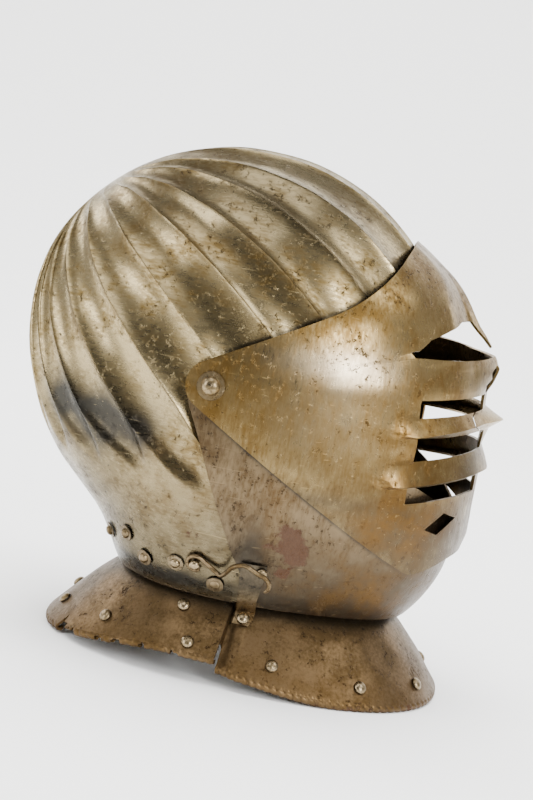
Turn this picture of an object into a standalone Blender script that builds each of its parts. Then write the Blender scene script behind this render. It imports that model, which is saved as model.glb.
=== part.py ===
"""Cuirassier's close helmet: a fluted skull, a barred visor, a bevor and two flared gorget plates.

Metres, +Z up. The helmet stands on its own rim at Z = 0, faces -Y, and its right side is -X.
The skull, the bevor and the visor are all round the line through the two side pivots, so each is
given in side view by an angle about that line (0 forward, 90 up) and a reach from it.
"""

import bmesh
import bpy
import numpy as np
from math import asin, cos, degrees, pi, radians, sin
from mathutils import Vector

# Steel
WALL = 0.0016
PLATE_GAP = 0.0012
SEAT = 0.0003

# Main form, as the skull's outer face
PIVOT_HEIGHT = 0.172
PIVOT_BACK = 0.0220
SKULL_HALF_WIDTH = 0.099
SKULL_REACH = 0.1300
CHIN_REACH = 0.1760
NAPE_REACH = 0.1135
SIDE_ROUNDNESS = 2.2
LAYER = WALL + PLATE_GAP

# Skull flutes
FLUTES = 20
FLUTE_DEPTH = 0.0046
FLUTE_POLE_ANGLE = 132.7
FLUTE_END_DROP = 0.064
FLUTE_FADE = 0.024

# Visor
BROW_REACH = 0.1316
NASAL_REACH = 0.1525
PROW_REACH = 0.1592
LIP_REACH = 0.1762
PIVOT_LUG_RADIUS = 0.0145
VISOR_EDGE_ANGLE = 30.0
BROW_LIFT_ANGLE = 8.6
BROW_LIFT_START = 0.070
BROW_LIFT_LENGTH = 0.061
FAN_START = 0.030
FAN_END = 0.085

# Bevor, as the slopes of its straight edges
BEVOR_TOP_ANGLE = -22.0
BEVOR_BACK_ANGLE = -67.0

# Neck and gorget
NECK_DROP = 0.125
NECK_CENTRE = 0.0425
COLLAR_HEIGHT = 0.009
COLLAR_INSET = 0.0046
CHIN_STEP = 0.0030
GORGET_CURVE = 0.85
RIM_FRONT = 0.1175
RIM_BACK = 0.1235
RIM_HALF_WIDTH = 0.094
REAR_RIM_ARCH = 0.013
FRONT_RIM_ARCH = 0.007
ROLL_RADIUS = 0.0028
SEAM_ANGLE = 97.0
UNDERLAP_ANGLE = 7.0

# Rivets, studs and hook
PIVOT_PIN_RADIUS = 0.0030
PIN_CLEARANCE = 0.0004
PIVOT_DOME_RADIUS = 0.0054
PIVOT_DOME_HEIGHT = 0.0042
PIVOT_WASHER_RADIUS = 0.0082
PIVOT_WASHER_THICKNESS = 0.0010
RIVET_RADIUS = 0.0038
RIVET_HEIGHT = 0.0026
NECK_RIVET_RADIUS = 0.0030
NECK_WASHER_RADIUS = 0.0052
WASHER_THICKNESS = 0.0007
HOOK_FORWARD = 0.0092
HOOK_DROP = 0.1043
BEVOR_STUD_FORWARD = 0.0472
BEVOR_STUD_DROP = 0.1016
HOOK_BAR_RADIUS = 0.0014
HOOK_EYE_RADIUS = 0.0047
STUD_RADIUS = 0.0031
STUD_HEIGHT = 0.0022
STUD_PIN_RADIUS = 0.0018
STRAP_THICKNESS = 0.0010
CATCH_FORWARD = 0.0380
CATCH_RISE = 0.0027
CROOK_RADIUS = 0.0072
CROOK_CLEARANCE = 0.0026
HOOK_BEND = (
    # along and up from the hook's stud, as shares of the way to the catch
    (0.30, -0.03),
    (0.42, -0.05),
    (0.50, 0.06),
    (0.585, 0.21),
    (0.68, 0.30),
    (0.80, 0.335),
)

# Side-view profile of the skull and, further on, of the bevor: angle in degrees, reach as a share
# of the named reach beside it
SKULL_PROFILE = (
    # angle, share, of
    (-75, 1.000, CHIN_REACH),
    (-35, 1.000, CHIN_REACH),
    (0, 0.860, CHIN_REACH),
    (30, 1.000, SKULL_REACH),
    (60, 1.005, SKULL_REACH),
    (90, 1.000, SKULL_REACH),
    (120, 1.004, SKULL_REACH),
    (155, 0.998, SKULL_REACH),
    (168, 0.976, SKULL_REACH),
    (182, 0.943, SKULL_REACH),
    (198, 1.040, NAPE_REACH),
    (216, 1.018, NAPE_REACH),
    (229, 1.000, NAPE_REACH),
    (242, 1.030, NAPE_REACH),
    (250, 1.165, NAPE_REACH),
    (260, 1.320, NAPE_REACH),
    (270, 1.450, NAPE_REACH),
    (285, 1.000, CHIN_REACH),
)
CHIN_PROFILE = (
    # angle, share, of
    (-90, 0.970, CHIN_REACH),
    (-75, 1.005, CHIN_REACH),
    (-44, 1.034, CHIN_REACH),
    (-39, 1.024, CHIN_REACH),
    (-34, 1.008, CHIN_REACH),
    (-30, 0.991, CHIN_REACH),
    (-27, 0.962, LIP_REACH),
    (-24, 0.918, LIP_REACH),
    (-20, 0.878, LIP_REACH),
)
VISOR_PROFILE = (
    # angle, share, of
    (-36, 1.050, LIP_REACH),
    (-30, 1.025, LIP_REACH),
    (-27, 0.992, LIP_REACH),
    (-24, 0.964, LIP_REACH),
    (-20, 0.940, LIP_REACH),
    (-15, 1.002, PROW_REACH),
    (-6, 0.982, PROW_REACH),
    (4, 0.944, PROW_REACH),
    (13, 0.975, PROW_REACH),
    (17, 0.945, NASAL_REACH),
    (24, 0.942, NASAL_REACH),
    (30, 1.085, BROW_REACH),
    (36, 1.065, BROW_REACH),
    (41, 1.035, BROW_REACH),
    (46, 0.995, BROW_REACH),
    (56, 0.985, BROW_REACH),
)

# Lines across the visor, from its top edge down: height above the pivots at the slots' rear ends
# and at the prow, how far each stands proud of the plate, how far more it does at the prow, and the
# half width over which the prow rises to that
SLOT_REAR = 0.1135
VISOR_LINES = (
    # name, rear height, front height, proud, more at the prow, prow's half width
    ("brow", 0.0720, 0.0850, 0.0000, 0.0000, 0.008),
    ("brow_low", 0.0560, 0.0720, 0.0000, 0.0025, 0.008),
    ("sight_top", 0.0385, 0.0560, 0.0000, 0.0095, 0.008),
    ("sight_low", 0.0350, 0.0358, 0.0012, 0.0060, 0.034),
    ("ledge", 0.0300, 0.0290, 0.0000, 0.0080, 0.036),
    ("slot_1_top", 0.0116, 0.0160, 0.0000, 0.0010, 0.040),
    ("slot_1_low", 0.0012, 0.0070, 0.0000, 0.0010, 0.030),
    ("bar_1", -0.0085, 0.0014, 0.0050, 0.0075, 0.026),
    ("slot_2_top", -0.0107, -0.0050, 0.0000, 0.0040, 0.026),
    ("slot_2_low", -0.0249, -0.0153, 0.0000, 0.0000, 0.026),
    ("bar_2", -0.0375, -0.0270, 0.0045, 0.0020, 0.024),
    ("slot_3_top", -0.0409, -0.0316, 0.0000, 0.0010, 0.024),
    ("slot_3_low", -0.0508, -0.0412, 0.0000, 0.0000, 0.024),
    ("lozenge", -0.0630, -0.0590, 0.0000, 0.0000, 0.024),
    ("lip", -0.0662, -0.0695, 0.0000, 0.0000, 0.024),
)
# Upper edge of the sight: an arch over each eye that comes down to a point over the nose
SIGHT_ARCH = (
    # half breadth, height above the pivots
    (0.0000, 0.0405),
    (0.0070, 0.0550),
    (0.0250, 0.0560),
    (0.0450, 0.0510),
    (0.0600, 0.0455),
    (0.0690, 0.0385),
)
# Lozenge hole's corners, forward of the pivots and above them
LOZENGE = ((0.1418, -0.0527), (0.1488, -0.0560), (0.1399, -0.0656), (0.1325, -0.0625))
# Break in the right side of the prow: from this far forward, between two heights
NOSE_BREAK_FORWARD = 0.1515
NOSE_BREAK_HEIGHTS = (0.0165, 0.0325)
SLOTS = (
    # upper line, lower line, rear end's distance from the pivots, front end's half width
    ("sight_top", "sight_low", 0.1120, 0.0),
    ("slot_1_top", "slot_1_low", 0.1135, 0.016),
    ("slot_2_top", "slot_2_low", 0.1145, 0.016),
    ("slot_3_top", "slot_3_low", 0.1190, 0.016),
)

NECK_RIVETS = (
    # forward of the pivots as a share of the nape's reach, distance below them, dome's height
    (0.194, 0.1160, 0.0007),
    (-0.022, 0.1080, 0.0022),
    (-0.189, 0.1110, 0.0022),
    (-0.308, 0.1000, 0.0022),
    (-0.408, 0.1045, 0.0022),
)
REAR_RIVETS = (
    # angle round the neck, share of the way from neck to rim
    (108.0, 0.84),
    (116.5, 0.22),
    (140.0, 0.70),
    (168.0, 0.74),
)
FRONT_RIVETS = (
    # angle round the neck, share of the way from neck to rim
    (18.0, 0.80),
    (44.0, 0.80),
    (76.0, 0.74),
    (91.0, 0.21),
)
# Strap that ties the bevor to the front gorget plate beside the seam: on the bevor, rear and front
# edge forward of the pivots and the height; then on the gorget, angles of its edges and the share
STRAP_ON_BEVOR = ((0.0350, 0.0495, -0.0975), (0.0352, 0.0490, -0.1080), (0.0360, 0.0470, -0.1215))
STRAP_ON_GORGET = ((95.0, 86.0, 0.11), (95.0, 86.5, 0.20), (95.0, 88.0, 0.30))

SKULL_COLOUR = (0.42, 0.37, 0.29, 1.0)
VISOR_COLOUR = (0.40, 0.31, 0.18, 1.0)
GORGET_COLOUR = (0.28, 0.22, 0.14, 1.0)
RIVET_COLOUR = (0.50, 0.44, 0.34, 1.0)


def clear_scene():
    for thing in list(bpy.data.objects):
        bpy.data.objects.remove(thing, do_unlink=True)


def steel(name, colour, roughness):
    material = bpy.data.materials.new(name)
    material.use_nodes = True
    shader = material.node_tree.nodes["Principled BSDF"]
    shader.inputs["Base Color"].default_value = colour
    shader.inputs["Metallic"].default_value = 1.0
    shader.inputs["Roughness"].default_value = roughness
    return material


def smooth_step(value, low, high):
    share = np.clip((value - low) / (high - low), 0.0, 1.0)
    return share * share * (3.0 - 2.0 * share)


def reach_of(profile, angle):
    """Reach of a side-view profile at an angle in degrees, rounded over its corners."""
    angles = np.array([row[0] for row in profile], float)
    reaches = np.array([row[1] * row[2] for row in profile])
    shifts = (-5.0, -2.5, 0.0, 2.5, 5.0)
    return sum(np.interp(angle + shift, angles, reaches) for shift in shifts) / len(shifts)


def skull_reach(angle):
    """The skull's profile, with angles below the chin counted on round the nape."""
    return reach_of(SKULL_PROFILE, np.where(angle < -75.0, angle + 360.0, angle))


def half_breadth(distance, reach, half_width):
    """Breadth from the middle plane, of a section whose ends are the reach and the half width."""
    share = np.clip(distance / reach, 0.0, 1.0)
    return half_width * (1.0 - share**SIDE_ROUNDNESS) ** (1.0 / SIDE_ROUNDNESS)


def to_world(forward, breadth, rise):
    """Points with the pivots' line as origin, put in the helmet's frame."""
    return np.stack([breadth, PIVOT_BACK - forward, PIVOT_HEIGHT + rise], axis=-1)


def grid_faces(rows, columns, keep=None):
    faces = []
    for i in range(rows - 1):
        for j in range(columns - 1):
            if keep is None or keep(i, j):
                a = i * columns + j
                faces.append((a, a + 1, a + columns + 1, a + columns))
    return faces


def new_object(name, points, faces, material, origin=None, parent=None):
    """A mesh object whose points are given in the world, with its origin where it turns."""
    origin = Vector(origin or (0.0, 0.0, 0.0))
    mesh = bpy.data.meshes.new(name)
    mesh.from_pydata([Vector(p) - origin for p in points], [], faces)
    mesh.materials.append(material)
    thing = bpy.data.objects.new(name, mesh)
    bpy.context.scene.collection.objects.link(thing)
    thing.location = origin
    if parent is not None:
        bpy.context.view_layer.update()
        thing.parent = parent
        thing.matrix_parent_inverse = parent.matrix_world.inverted()
    return thing


def axis_empty(name, place):
    empty = bpy.data.objects.new(name, None)
    empty.location = place
    bpy.context.scene.collection.objects.link(empty)
    bpy.context.view_layer.update()
    return empty


def clean_mesh(thing, outward_from):
    """Merges doubled points, drops what collapsed, and faces the sheet away from a point."""
    shape = bmesh.new()
    shape.from_mesh(thing.data)
    bmesh.ops.remove_doubles(shape, verts=shape.verts, dist=0.00002)
    bmesh.ops.dissolve_degenerate(shape, edges=shape.edges, dist=0.00001)
    bmesh.ops.recalc_face_normals(shape, faces=shape.faces)
    centre = Vector(outward_from) - thing.location
    facing = sum(f.normal.dot(f.calc_center_median() - centre) * f.calc_area() for f in shape.faces)
    if facing < 0:
        bmesh.ops.reverse_faces(shape, faces=shape.faces)
    shape.to_mesh(thing.data)
    shape.free()


def mirrored(points, faces):
    """The right half and its mirror image, each face turned to match."""
    points = np.asarray(points).reshape(-1, 3)
    other = points * (-1.0, 1.0, 1.0)
    shift = len(points)
    return np.vstack([points, other]), faces + [tuple(v + shift for v in f[::-1]) for f in faces]


def sheet(name, points, faces, material, axis, centre):
    """A plate of steel: its outer face, given a wall inwards."""
    thing = new_object(name, points, faces, material, axis.location, axis)
    clean_mesh(thing, centre)
    wall = thing.modifiers.new("wall", "SOLIDIFY")
    wall.thickness = WALL
    wall.offset = -1.0
    wall.use_even_offset = True
    thing.data.shade_smooth()
    thing.data.set_sharp_from_angle(angle=radians(28))
    return thing


def pin_hole(things, radius):
    """One hole across the helmet at the pivots, through each of the plates."""
    bpy.ops.mesh.primitive_cylinder_add(
        vertices=16,
        radius=radius,
        depth=4 * SKULL_HALF_WIDTH,
        location=(0.0, PIVOT_BACK, PIVOT_HEIGHT),
        rotation=(0.0, pi / 2, 0.0),
    )
    cutter = bpy.context.object
    cutter.name = "pivot_hole_cutter"
    cutter.hide_render = True
    cutter.display_type = "WIRE"
    for thing in things:
        cut = thing.modifiers.new("pivot_hole", "BOOLEAN")
        cut.operation = "DIFFERENCE"
        cut.object = cutter


def prism(name, outline, right, left):
    """A cutter: a side-view outline, forward and up from the pivots, between two breadths."""
    count = len(outline)
    near = [to_world(f, right, r) for f, r in outline]
    far = [to_world(f, left, r) for f, r in outline]
    faces = [(k, (k + 1) % count, count + (k + 1) % count, count + k) for k in range(count)]
    faces += [tuple(range(count))[::-1], tuple(range(count, 2 * count))]
    cutter = new_object(name, near + far, faces, bpy.data.materials[0])
    clean_mesh(cutter, sum((Vector(p) for p in near + far), Vector()) / (2 * count))
    cutter.hide_render = True
    cutter.display_type = "WIRE"
    return cutter


def cut_lozenge_and_break(visor):
    """The lozenge hole on both sides, and the piece lost from the right side of the prow."""
    across = prism("lozenge_cutter", LOZENGE, -SKULL_HALF_WIDTH, SKULL_HALF_WIDTH)
    low, high = NOSE_BREAK_HEIGHTS
    near, far = NOSE_BREAK_FORWARD, 2 * PROW_REACH
    outline = ((near, low), (near + 0.003, low), (far, low), (far, high), (near, high))
    lost = prism("nose_break_cutter", outline, -0.03, -0.0006)
    for cutter in (across, lost):
        cut = visor.modifiers.new(cutter.name, "BOOLEAN")
        cut.operation = "DIFFERENCE"
        cut.object = cutter


def flute_relief(turn, rise):
    """Hollow between sharp ridges, as a depth: turn is the angle in degrees about the flutes' pole."""
    share = np.mod(turn / (360.0 / FLUTES) + 0.5, 1.0)
    hollow = 4.0 * share * (1.0 - share)
    fade = smooth_step(rise, -FLUTE_END_DROP, -FLUTE_END_DROP + FLUTE_FADE)
    return FLUTE_DEPTH * hollow * fade


def skull_front_edge(rise):
    """How far forward the skull goes at a height, under the visor's and the bevor's edges."""
    heights = np.array([-1.0, -0.48, -0.08, 0.11, 0.19, 0.35, 0.50, 0.72]) * NECK_DROP
    edges = np.array([0.42, 0.25, 0.12, 0.12, 0.28, 0.52, 0.63, 0.76]) * NECK_DROP
    return np.interp(rise, heights, edges)


def skull_points(turn, spread):
    """Outer face of the skull at an angle about the pole and an angle from it, both in degrees."""
    pole = radians(FLUTE_POLE_ANGLE)
    turn_r, spread_r = np.radians(turn), np.radians(spread)
    along, out = np.cos(spread_r), np.sin(spread_r)
    forward = along * cos(pole) + out * np.cos(turn_r) * sin(pole)
    rise = along * sin(pole) - out * np.cos(turn_r) * cos(pole)
    side = -out * np.sin(turn_r)
    level = np.hypot(forward, rise)
    angle = np.degrees(np.arctan2(rise, forward))
    power = SIDE_ROUNDNESS
    size = (level / skull_reach(angle)) ** power + (np.abs(side) / SKULL_HALF_WIDTH) ** power
    reach = size ** (-1.0 / power)
    near_pole = smooth_step(spread, 0.0, 42.0)
    reach = reach - flute_relief(turn, reach * rise) * near_pole
    return reach * forward, reach * side, reach * rise


def skull_end(turn):
    """Angle from the pole at which each line of the skull meets its front edge or its neck."""
    low, high = np.full_like(turn, 40.0), np.full_like(turn, 172.0)
    for _ in range(40):
        middle = (low + high) / 2
        forward, _, rise = skull_points(turn, middle)
        inside = (forward < skull_front_edge(rise)) & (rise > -NECK_DROP)
        low, high = np.where(inside, middle, low), np.where(inside, high, middle)
    return low


def make_skull(axis, material):
    rows, steps = 13, 3
    columns = FLUTES // 2 * steps + 1
    turn = np.linspace(0.0, 180.0, columns)
    share = np.linspace(0.0, 1.0, rows)[:, None] ** 0.9
    forward, side, rise = skull_points(turn[None, :], share * skull_end(turn)[None, :])
    side[:, 0] = side[:, -1] = 0.0
    points, faces = mirrored(to_world(forward, side, rise), grid_faces(rows, columns))
    return sheet("skull", points, faces, material, axis, axis.location)


def edge_angle(distance, slope):
    """Angle of a straight edge that touches the lug round the pivot."""
    return slope + np.degrees(np.arcsin(np.clip(PIVOT_LUG_RADIUS / distance, 0.0, 1.0)))


def visor_top(distance):
    lift = np.clip((distance - BROW_LIFT_START) / BROW_LIFT_LENGTH, 0.0, 1.2) ** 2
    return edge_angle(distance, VISOR_EDGE_ANGLE) + BROW_LIFT_ANGLE * lift


def visor_bottom(distance):
    """Lower edge, which turns up at the lip to meet the middle higher than the corner."""
    lip = smooth_step(distance, 0.155, 0.176)
    return -edge_angle(distance, VISOR_EDGE_ANGLE) + 8.0 * lip


def visor_line(index, distance, reach, breadth):
    """Angle of one of the visor's lines at a distance from the pivots."""
    rear, front = VISOR_LINES[index][1:3]
    share = (distance - SLOT_REAR) / (reach - SLOT_REAR)
    height = np.where(share > 0, rear + (front - rear) * share, rear * distance / SLOT_REAR)
    if VISOR_LINES[index][0] == "sight_top":
        breadths, heights = np.array(SIGHT_ARCH).T
        arch = np.interp(breadth, breadths, heights)
        height = np.where(breadth < breadths[-1], arch, height)
    straight = np.degrees(np.arcsin(np.clip(height / distance, -0.95, 0.95)))
    top, bottom = visor_top(distance), visor_bottom(distance)
    corner = np.degrees(np.arcsin(rear / SLOT_REAR))
    at_rear = SLOT_REAR * np.ones_like(distance)
    part = (corner - visor_bottom(at_rear)) / (visor_top(at_rear) - visor_bottom(at_rear))
    near_lug = 1.0 - smooth_step(distance, FAN_START, FAN_END)
    return straight * (1 - near_lug) + (bottom + (top - bottom) * part) * near_lug


def make_visor(axis, material):
    half_width = SKULL_HALF_WIDTH + 2 * LAYER
    names = ["top"] + [row[0] for row in VISOR_LINES] + ["bottom"]
    proud = np.array([0.0] + [row[3] for row in VISOR_LINES] + [0.0])
    prow = np.array([0.0] + [row[4] for row in VISOR_LINES] + [0.0])
    prow_width = np.array([0.01] + [row[5] for row in VISOR_LINES] + [0.024])
    shares = [0, 0.05, 0.11, 0.18, 0.26, 0.35, 0.44, 0.53, 0.63, 0.72, 0.79, 0.86, 0.93, 0.968, 1]
    shares = np.array(shares)
    columns = len(shares) + 1
    forward = np.zeros((len(names), columns))
    rise, side = np.zeros_like(forward), np.zeros_like(forward)
    slot_columns = {}
    for i, name in enumerate(names):
        angle = np.zeros_like(shares)
        for _ in range(12):
            reach = reach_of(VISOR_PROFILE, angle)
            distance = PIVOT_LUG_RADIUS + (reach - PIVOT_LUG_RADIUS) * np.sin(shares * pi / 2)
            breadth = half_breadth(distance, reach, half_width)
            if name == "top":
                angle = visor_top(distance)
            elif name == "bottom":
                angle = visor_bottom(distance)
            else:
                angle = visor_line(i - 1, distance, reach, breadth)
        share_out = smooth_step(distance, SLOT_REAR - 0.012, SLOT_REAR + 0.006)
        middle = np.clip(1.0 - breadth / prow_width[i], 0.0, 1.0)
        out = distance + proud[i] * share_out + prow[i] * middle
        forward[i, 1:] = out * np.cos(np.radians(angle))
        rise[i, 1:] = out * np.sin(np.radians(angle))
        side[i, 1:] = -(breadth + 0.5 * proud[i] * share_out * (breadth > 0))
        side[i, -1] = 0.0
        slot_columns[name] = distance
        turn = radians(120.0 + 120.0 * i / (len(names) - 1))
        forward[i, 0] = PIVOT_LUG_RADIUS * cos(turn)
        rise[i, 0] = PIVOT_LUG_RADIUS * sin(turn)
        side[i, 0] = -half_breadth(PIVOT_LUG_RADIUS, reach[0], half_width)
    keep = visor_openings(names, slot_columns, side)
    points, faces = mirrored(to_world(forward, side, rise), grid_faces(len(names), columns, keep))
    return sheet("visor", points, faces, material, axis, axis.location)


def visor_openings(names, distances, side):
    """Says which cells of the visor's grid are metal, and not a slot or the sight."""
    slots = [(names.index(row[0]), distances[row[0]], row[2], row[3]) for row in SLOTS]

    def keep(i, j):
        for top, distance, rear, half_width in slots:
            beyond = j >= 1 and distance[j - 1] >= rear - 0.004
            if i == top and beyond and abs(side[i, j + 1]) >= half_width - 0.004:
                return False
        return True

    return keep


def make_bevor(axis, material):
    half_width = SKULL_HALF_WIDTH + LAYER
    slope_top, slope_back = BEVOR_TOP_ANGLE, BEVOR_BACK_ANGLE
    corner = -degrees(asin(NECK_DROP / float(reach_of(CHIN_PROFILE, -44.0))))
    angles = np.concatenate([np.linspace(slope_top, corner, 7), np.linspace(corner, slope_back, 6)[1:]])
    shares = np.array([0.0, 0.07, 0.15, 0.24, 0.34, 0.45, 0.56, 0.67, 0.78, 0.87, 0.94, 1.0])
    forward, rise, side = [], [], []
    for angle in angles:
        reach = float(reach_of(CHIN_PROFILE, angle))
        end = min(reach, NECK_DROP / sin(radians(-angle)))
        if abs(angle - corner) < 0.01:
            end = reach
        distance = PIVOT_LUG_RADIUS + (end - PIVOT_LUG_RADIUS) * np.sin(shares * pi / 2)
        part = (angle - slope_back) / (slope_top - slope_back)
        swing = np.degrees(np.arcsin(PIVOT_LUG_RADIUS / distance)) * (2.0 * part - 1.0)
        turned = np.radians(angle + swing * (1.0 - shares**2))
        breadth = half_breadth(distance, reach, half_width)
        rear_turn = radians(90.0 + slope_top + (1.0 - part) * (180.0 + slope_back - slope_top))
        forward.append([PIVOT_LUG_RADIUS * cos(rear_turn)] + list(distance * np.cos(turned)))
        rise.append([PIVOT_LUG_RADIUS * sin(rear_turn)] + list(distance * np.sin(turned)))
        side.append([-half_breadth(PIVOT_LUG_RADIUS, reach, half_width)] + list(-breadth))
    forward, rise, side = np.array(forward), np.array(rise), np.array(side)
    points, faces = mirrored(to_world(forward, side, rise), grid_faces(*forward.shape))
    return sheet("bevor", points, faces, material, axis, axis.location)


def neck_distance(turn, drop):
    """Distance from the neck's middle to the skull's or the bevor's outer face, at a height."""
    low, high = np.zeros_like(turn), np.full_like(turn, 0.2)
    for _ in range(40):
        middle = (low + high) / 2
        forward = NECK_CENTRE + middle * np.cos(turn)
        side = middle * np.sin(turn)
        level = np.hypot(forward, drop)
        reach = skull_reach(np.degrees(np.arctan2(-drop, forward)))
        size = (level / reach) ** SIDE_ROUNDNESS + (np.abs(side) / SKULL_HALF_WIDTH) ** SIDE_ROUNDNESS
        inside = size < 1.0
        low, high = np.where(inside, middle, low), np.where(inside, high, middle)
    return low


def rim_distance(turn):
    """Distance from the neck's middle to the rolled rim: an oval, longer behind than in front."""
    end = np.where(np.cos(turn) > 0, RIM_FRONT, RIM_BACK)
    size = (np.abs(np.cos(turn)) / end) ** 2.3 + (np.abs(np.sin(turn)) / RIM_HALF_WIDTH) ** 2.3
    return size ** (-1 / 2.3)


def rim_height(turn):
    """The rim lies on the floor in front and behind, and is arched a little over each shoulder."""
    away = np.degrees(pi - np.abs(np.mod(np.abs(turn), 2 * pi) - pi))
    before_seam = FRONT_RIM_ARCH * smooth_step(away, 52.0, SEAM_ANGLE)
    behind_seam = REAR_RIM_ARCH * (1.0 - smooth_step(away, 112.0, 168.0))
    return np.where(away < SEAM_ANGLE - 0.2, before_seam, behind_seam)


GORGET_FLARE = (0.0, 0.14, 0.42, 0.72, 1.0)
ROLL_ANGLES = (22.5, -22.5, -67.5, -112.5, -157.5)


def collar_inset(turn):
    """How far inside the skull's face the collar stands: less in front, where the bevor is longer."""
    return COLLAR_INSET - CHIN_STEP * np.clip(np.cos(turn), 0.0, 1.0) ** 2


def gorget_point(turn, share):
    """Outer face of a gorget plate, from the neck (0) to where the rim's roll starts (1)."""
    neck = neck_distance(turn, NECK_DROP) - collar_inset(turn)
    rim = rim_distance(turn) - ROLL_RADIUS + ROLL_RADIUS * cos(radians(48.0))
    low = rim_height(turn) + ROLL_RADIUS * (sin(radians(67.5)) + sin(radians(48.0)))
    top = PIVOT_HEIGHT - NECK_DROP - 0.002
    return neck + (rim - neck) * share**GORGET_CURVE, top + (low - top) * share


def gorget_rows(turn, inset):
    """Distance and height of each row of a gorget plate: collar, flare and the rolled rim."""
    rows = []
    for lift in (COLLAR_HEIGHT, COLLAR_HEIGHT / 2):
        collar = neck_distance(turn, NECK_DROP - lift) - collar_inset(turn)
        rows.append((collar - inset, PIVOT_HEIGHT - NECK_DROP + lift + 0 * turn))
    for share in GORGET_FLARE:
        distance, height = gorget_point(turn, share)
        rows.append((distance - inset, height))
    centre = rim_distance(turn) - ROLL_RADIUS - inset
    middle = rim_height(turn) + ROLL_RADIUS * sin(radians(67.5))
    for angle in ROLL_ANGLES:
        out, up = ROLL_RADIUS * cos(radians(angle)), ROLL_RADIUS * sin(radians(angle))
        rows.append((centre + out, middle + up))
    return rows


def make_gorget(name, turns, inset, axis, material, keep=None):
    turn = np.radians(turns)
    points = []
    for distance, height in gorget_rows(turn, inset):
        forward = NECK_CENTRE + distance * np.cos(turn)
        points.append(to_world(forward, distance * np.sin(turn), height - PIVOT_HEIGHT))
    grid = np.array(points)
    faces = grid_faces(grid.shape[0], grid.shape[1], keep)
    rim_middle = (0.0, PIVOT_BACK - NECK_CENTRE, PIVOT_HEIGHT - NECK_DROP)
    thing = new_object(name, grid.reshape(-1, 3), faces, material, axis.location, axis)
    face_gorget_outwards(thing, rim_middle)
    wall = thing.modifiers.new("wall", "SOLIDIFY")
    wall.thickness = WALL
    wall.offset = -1.0
    wall.use_even_offset = True
    thing.data.shade_smooth()
    thing.data.set_sharp_from_angle(angle=radians(35))
    return thing


def face_gorget_outwards(thing, middle):
    """Turns the plate by its first row of faces, the collar, which looks away from the neck."""
    shape = bmesh.new()
    shape.from_mesh(thing.data)
    loose = [v for v in shape.verts if not v.link_faces]
    bmesh.ops.delete(shape, geom=loose, context="VERTS")
    shape.faces.ensure_lookup_table()
    first = shape.faces[0]
    outward = first.calc_center_median() + thing.location - Vector(middle)
    if first.normal.dot(Vector((outward.x, outward.y, 0.0))) < 0:
        bmesh.ops.reverse_faces(shape, faces=shape.faces)
    shape.to_mesh(thing.data)
    shape.free()


def make_front_gorget(axis, material):
    last = SEAM_ANGLE - 0.5
    turns = np.concatenate([np.linspace(0, last, 12), [SEAM_ANGLE + 2.5, SEAM_ANGLE + UNDERLAP_ANGLE]])
    turns = np.concatenate([-turns[:0:-1], turns])
    inset = 1.9 * LAYER * smooth_step(np.abs(turns), SEAM_ANGLE - 9.0, SEAM_ANGLE - 0.5)
    first_roll_row = 2 + len(GORGET_FLARE) - 2

    def keep(i, j):
        outside = max(abs(turns[j]), abs(turns[j + 1])) > last + 0.1
        return not (outside and i >= first_roll_row)

    return make_gorget("gorget_front", turns, inset, axis, material, keep)


def make_rear_gorget(axis, material):
    turns = np.linspace(SEAM_ANGLE, 360.0 - SEAM_ANGLE, 19)
    return make_gorget("gorget_rear", turns, 0.0, axis, material)


def dome(name, place, normal, radius, height, material, axis, pin=None, sides=8):
    """A domed rivet head turned round its own line, with a pin below it where one is wanted."""
    normal = Vector(normal).normalized()
    across = normal.orthogonal().normalized()
    other = normal.cross(across)
    rings = [(radius * cos(t), height * sin(t)) for t in (0.0, pi / 6, pi / 3)]
    if pin:
        pin_radius, pin_length = pin
        rings = [(pin_radius, -pin_length), (pin_radius, 0.0)] + rings
    points, faces = [], []
    for ring_radius, up in rings:
        for k in range(sides):
            turn = 2 * pi * k / sides
            spoke = across * cos(turn) + other * sin(turn)
            points.append(Vector(place) + spoke * ring_radius + normal * up)
    for i in range(len(rings) - 1):
        for k in range(sides):
            a, b = i * sides + k, i * sides + (k + 1) % sides
            faces.append((a, b, b + sides, a + sides))
    faces.append(tuple(range(sides))[::-1])
    top = len(points)
    points.append(Vector(place) + normal * height)
    last = (len(rings) - 1) * sides
    faces += [(last + k, last + (k + 1) % sides, top) for k in range(sides)]
    thing = new_object(name, points, faces, material, place, axis)
    thing.data.shade_smooth()
    thing.data.set_sharp_from_angle(angle=radians(50))
    return thing


def form_place(forward, rise, layers, right=True):
    """A point and the outward direction on the form's outer face, so many layers out."""
    half_width = SKULL_HALF_WIDTH + layers * LAYER

    def point(f, r):
        angle = np.degrees(np.arctan2(r, f))
        reach = skull_reach(angle) + layers * LAYER
        breadth = float(half_breadth(np.hypot(f, r), reach, half_width))
        return Vector(to_world(f, -breadth if right else breadth, r))

    here = point(forward, rise)
    step = 0.001
    along = point(forward + step, rise) - point(forward - step, rise)
    up = point(forward, rise + step) - point(forward, rise - step)
    normal = along.cross(up).normalized()
    if normal.x * here.x < 0:
        normal = -normal
    return here, normal


def gorget_place(turn_degrees, share):
    """A point and the outward direction on a gorget plate."""

    def point(turn, part):
        turn = np.radians(np.array([turn]))
        distance, height = gorget_point(turn, part)
        forward = NECK_CENTRE + distance[0] * cos(turn[0])
        return Vector(to_world(forward, -distance[0] * sin(turn[0]), height[0] - PIVOT_HEIGHT))

    here = point(turn_degrees, share)
    along = point(turn_degrees + 1, share) - point(turn_degrees - 1, share)
    down = point(turn_degrees, share + 0.02) - point(turn_degrees, share - 0.02)
    normal = along.cross(down).normalized()
    return here, normal if normal.z > 0 else -normal


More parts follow.
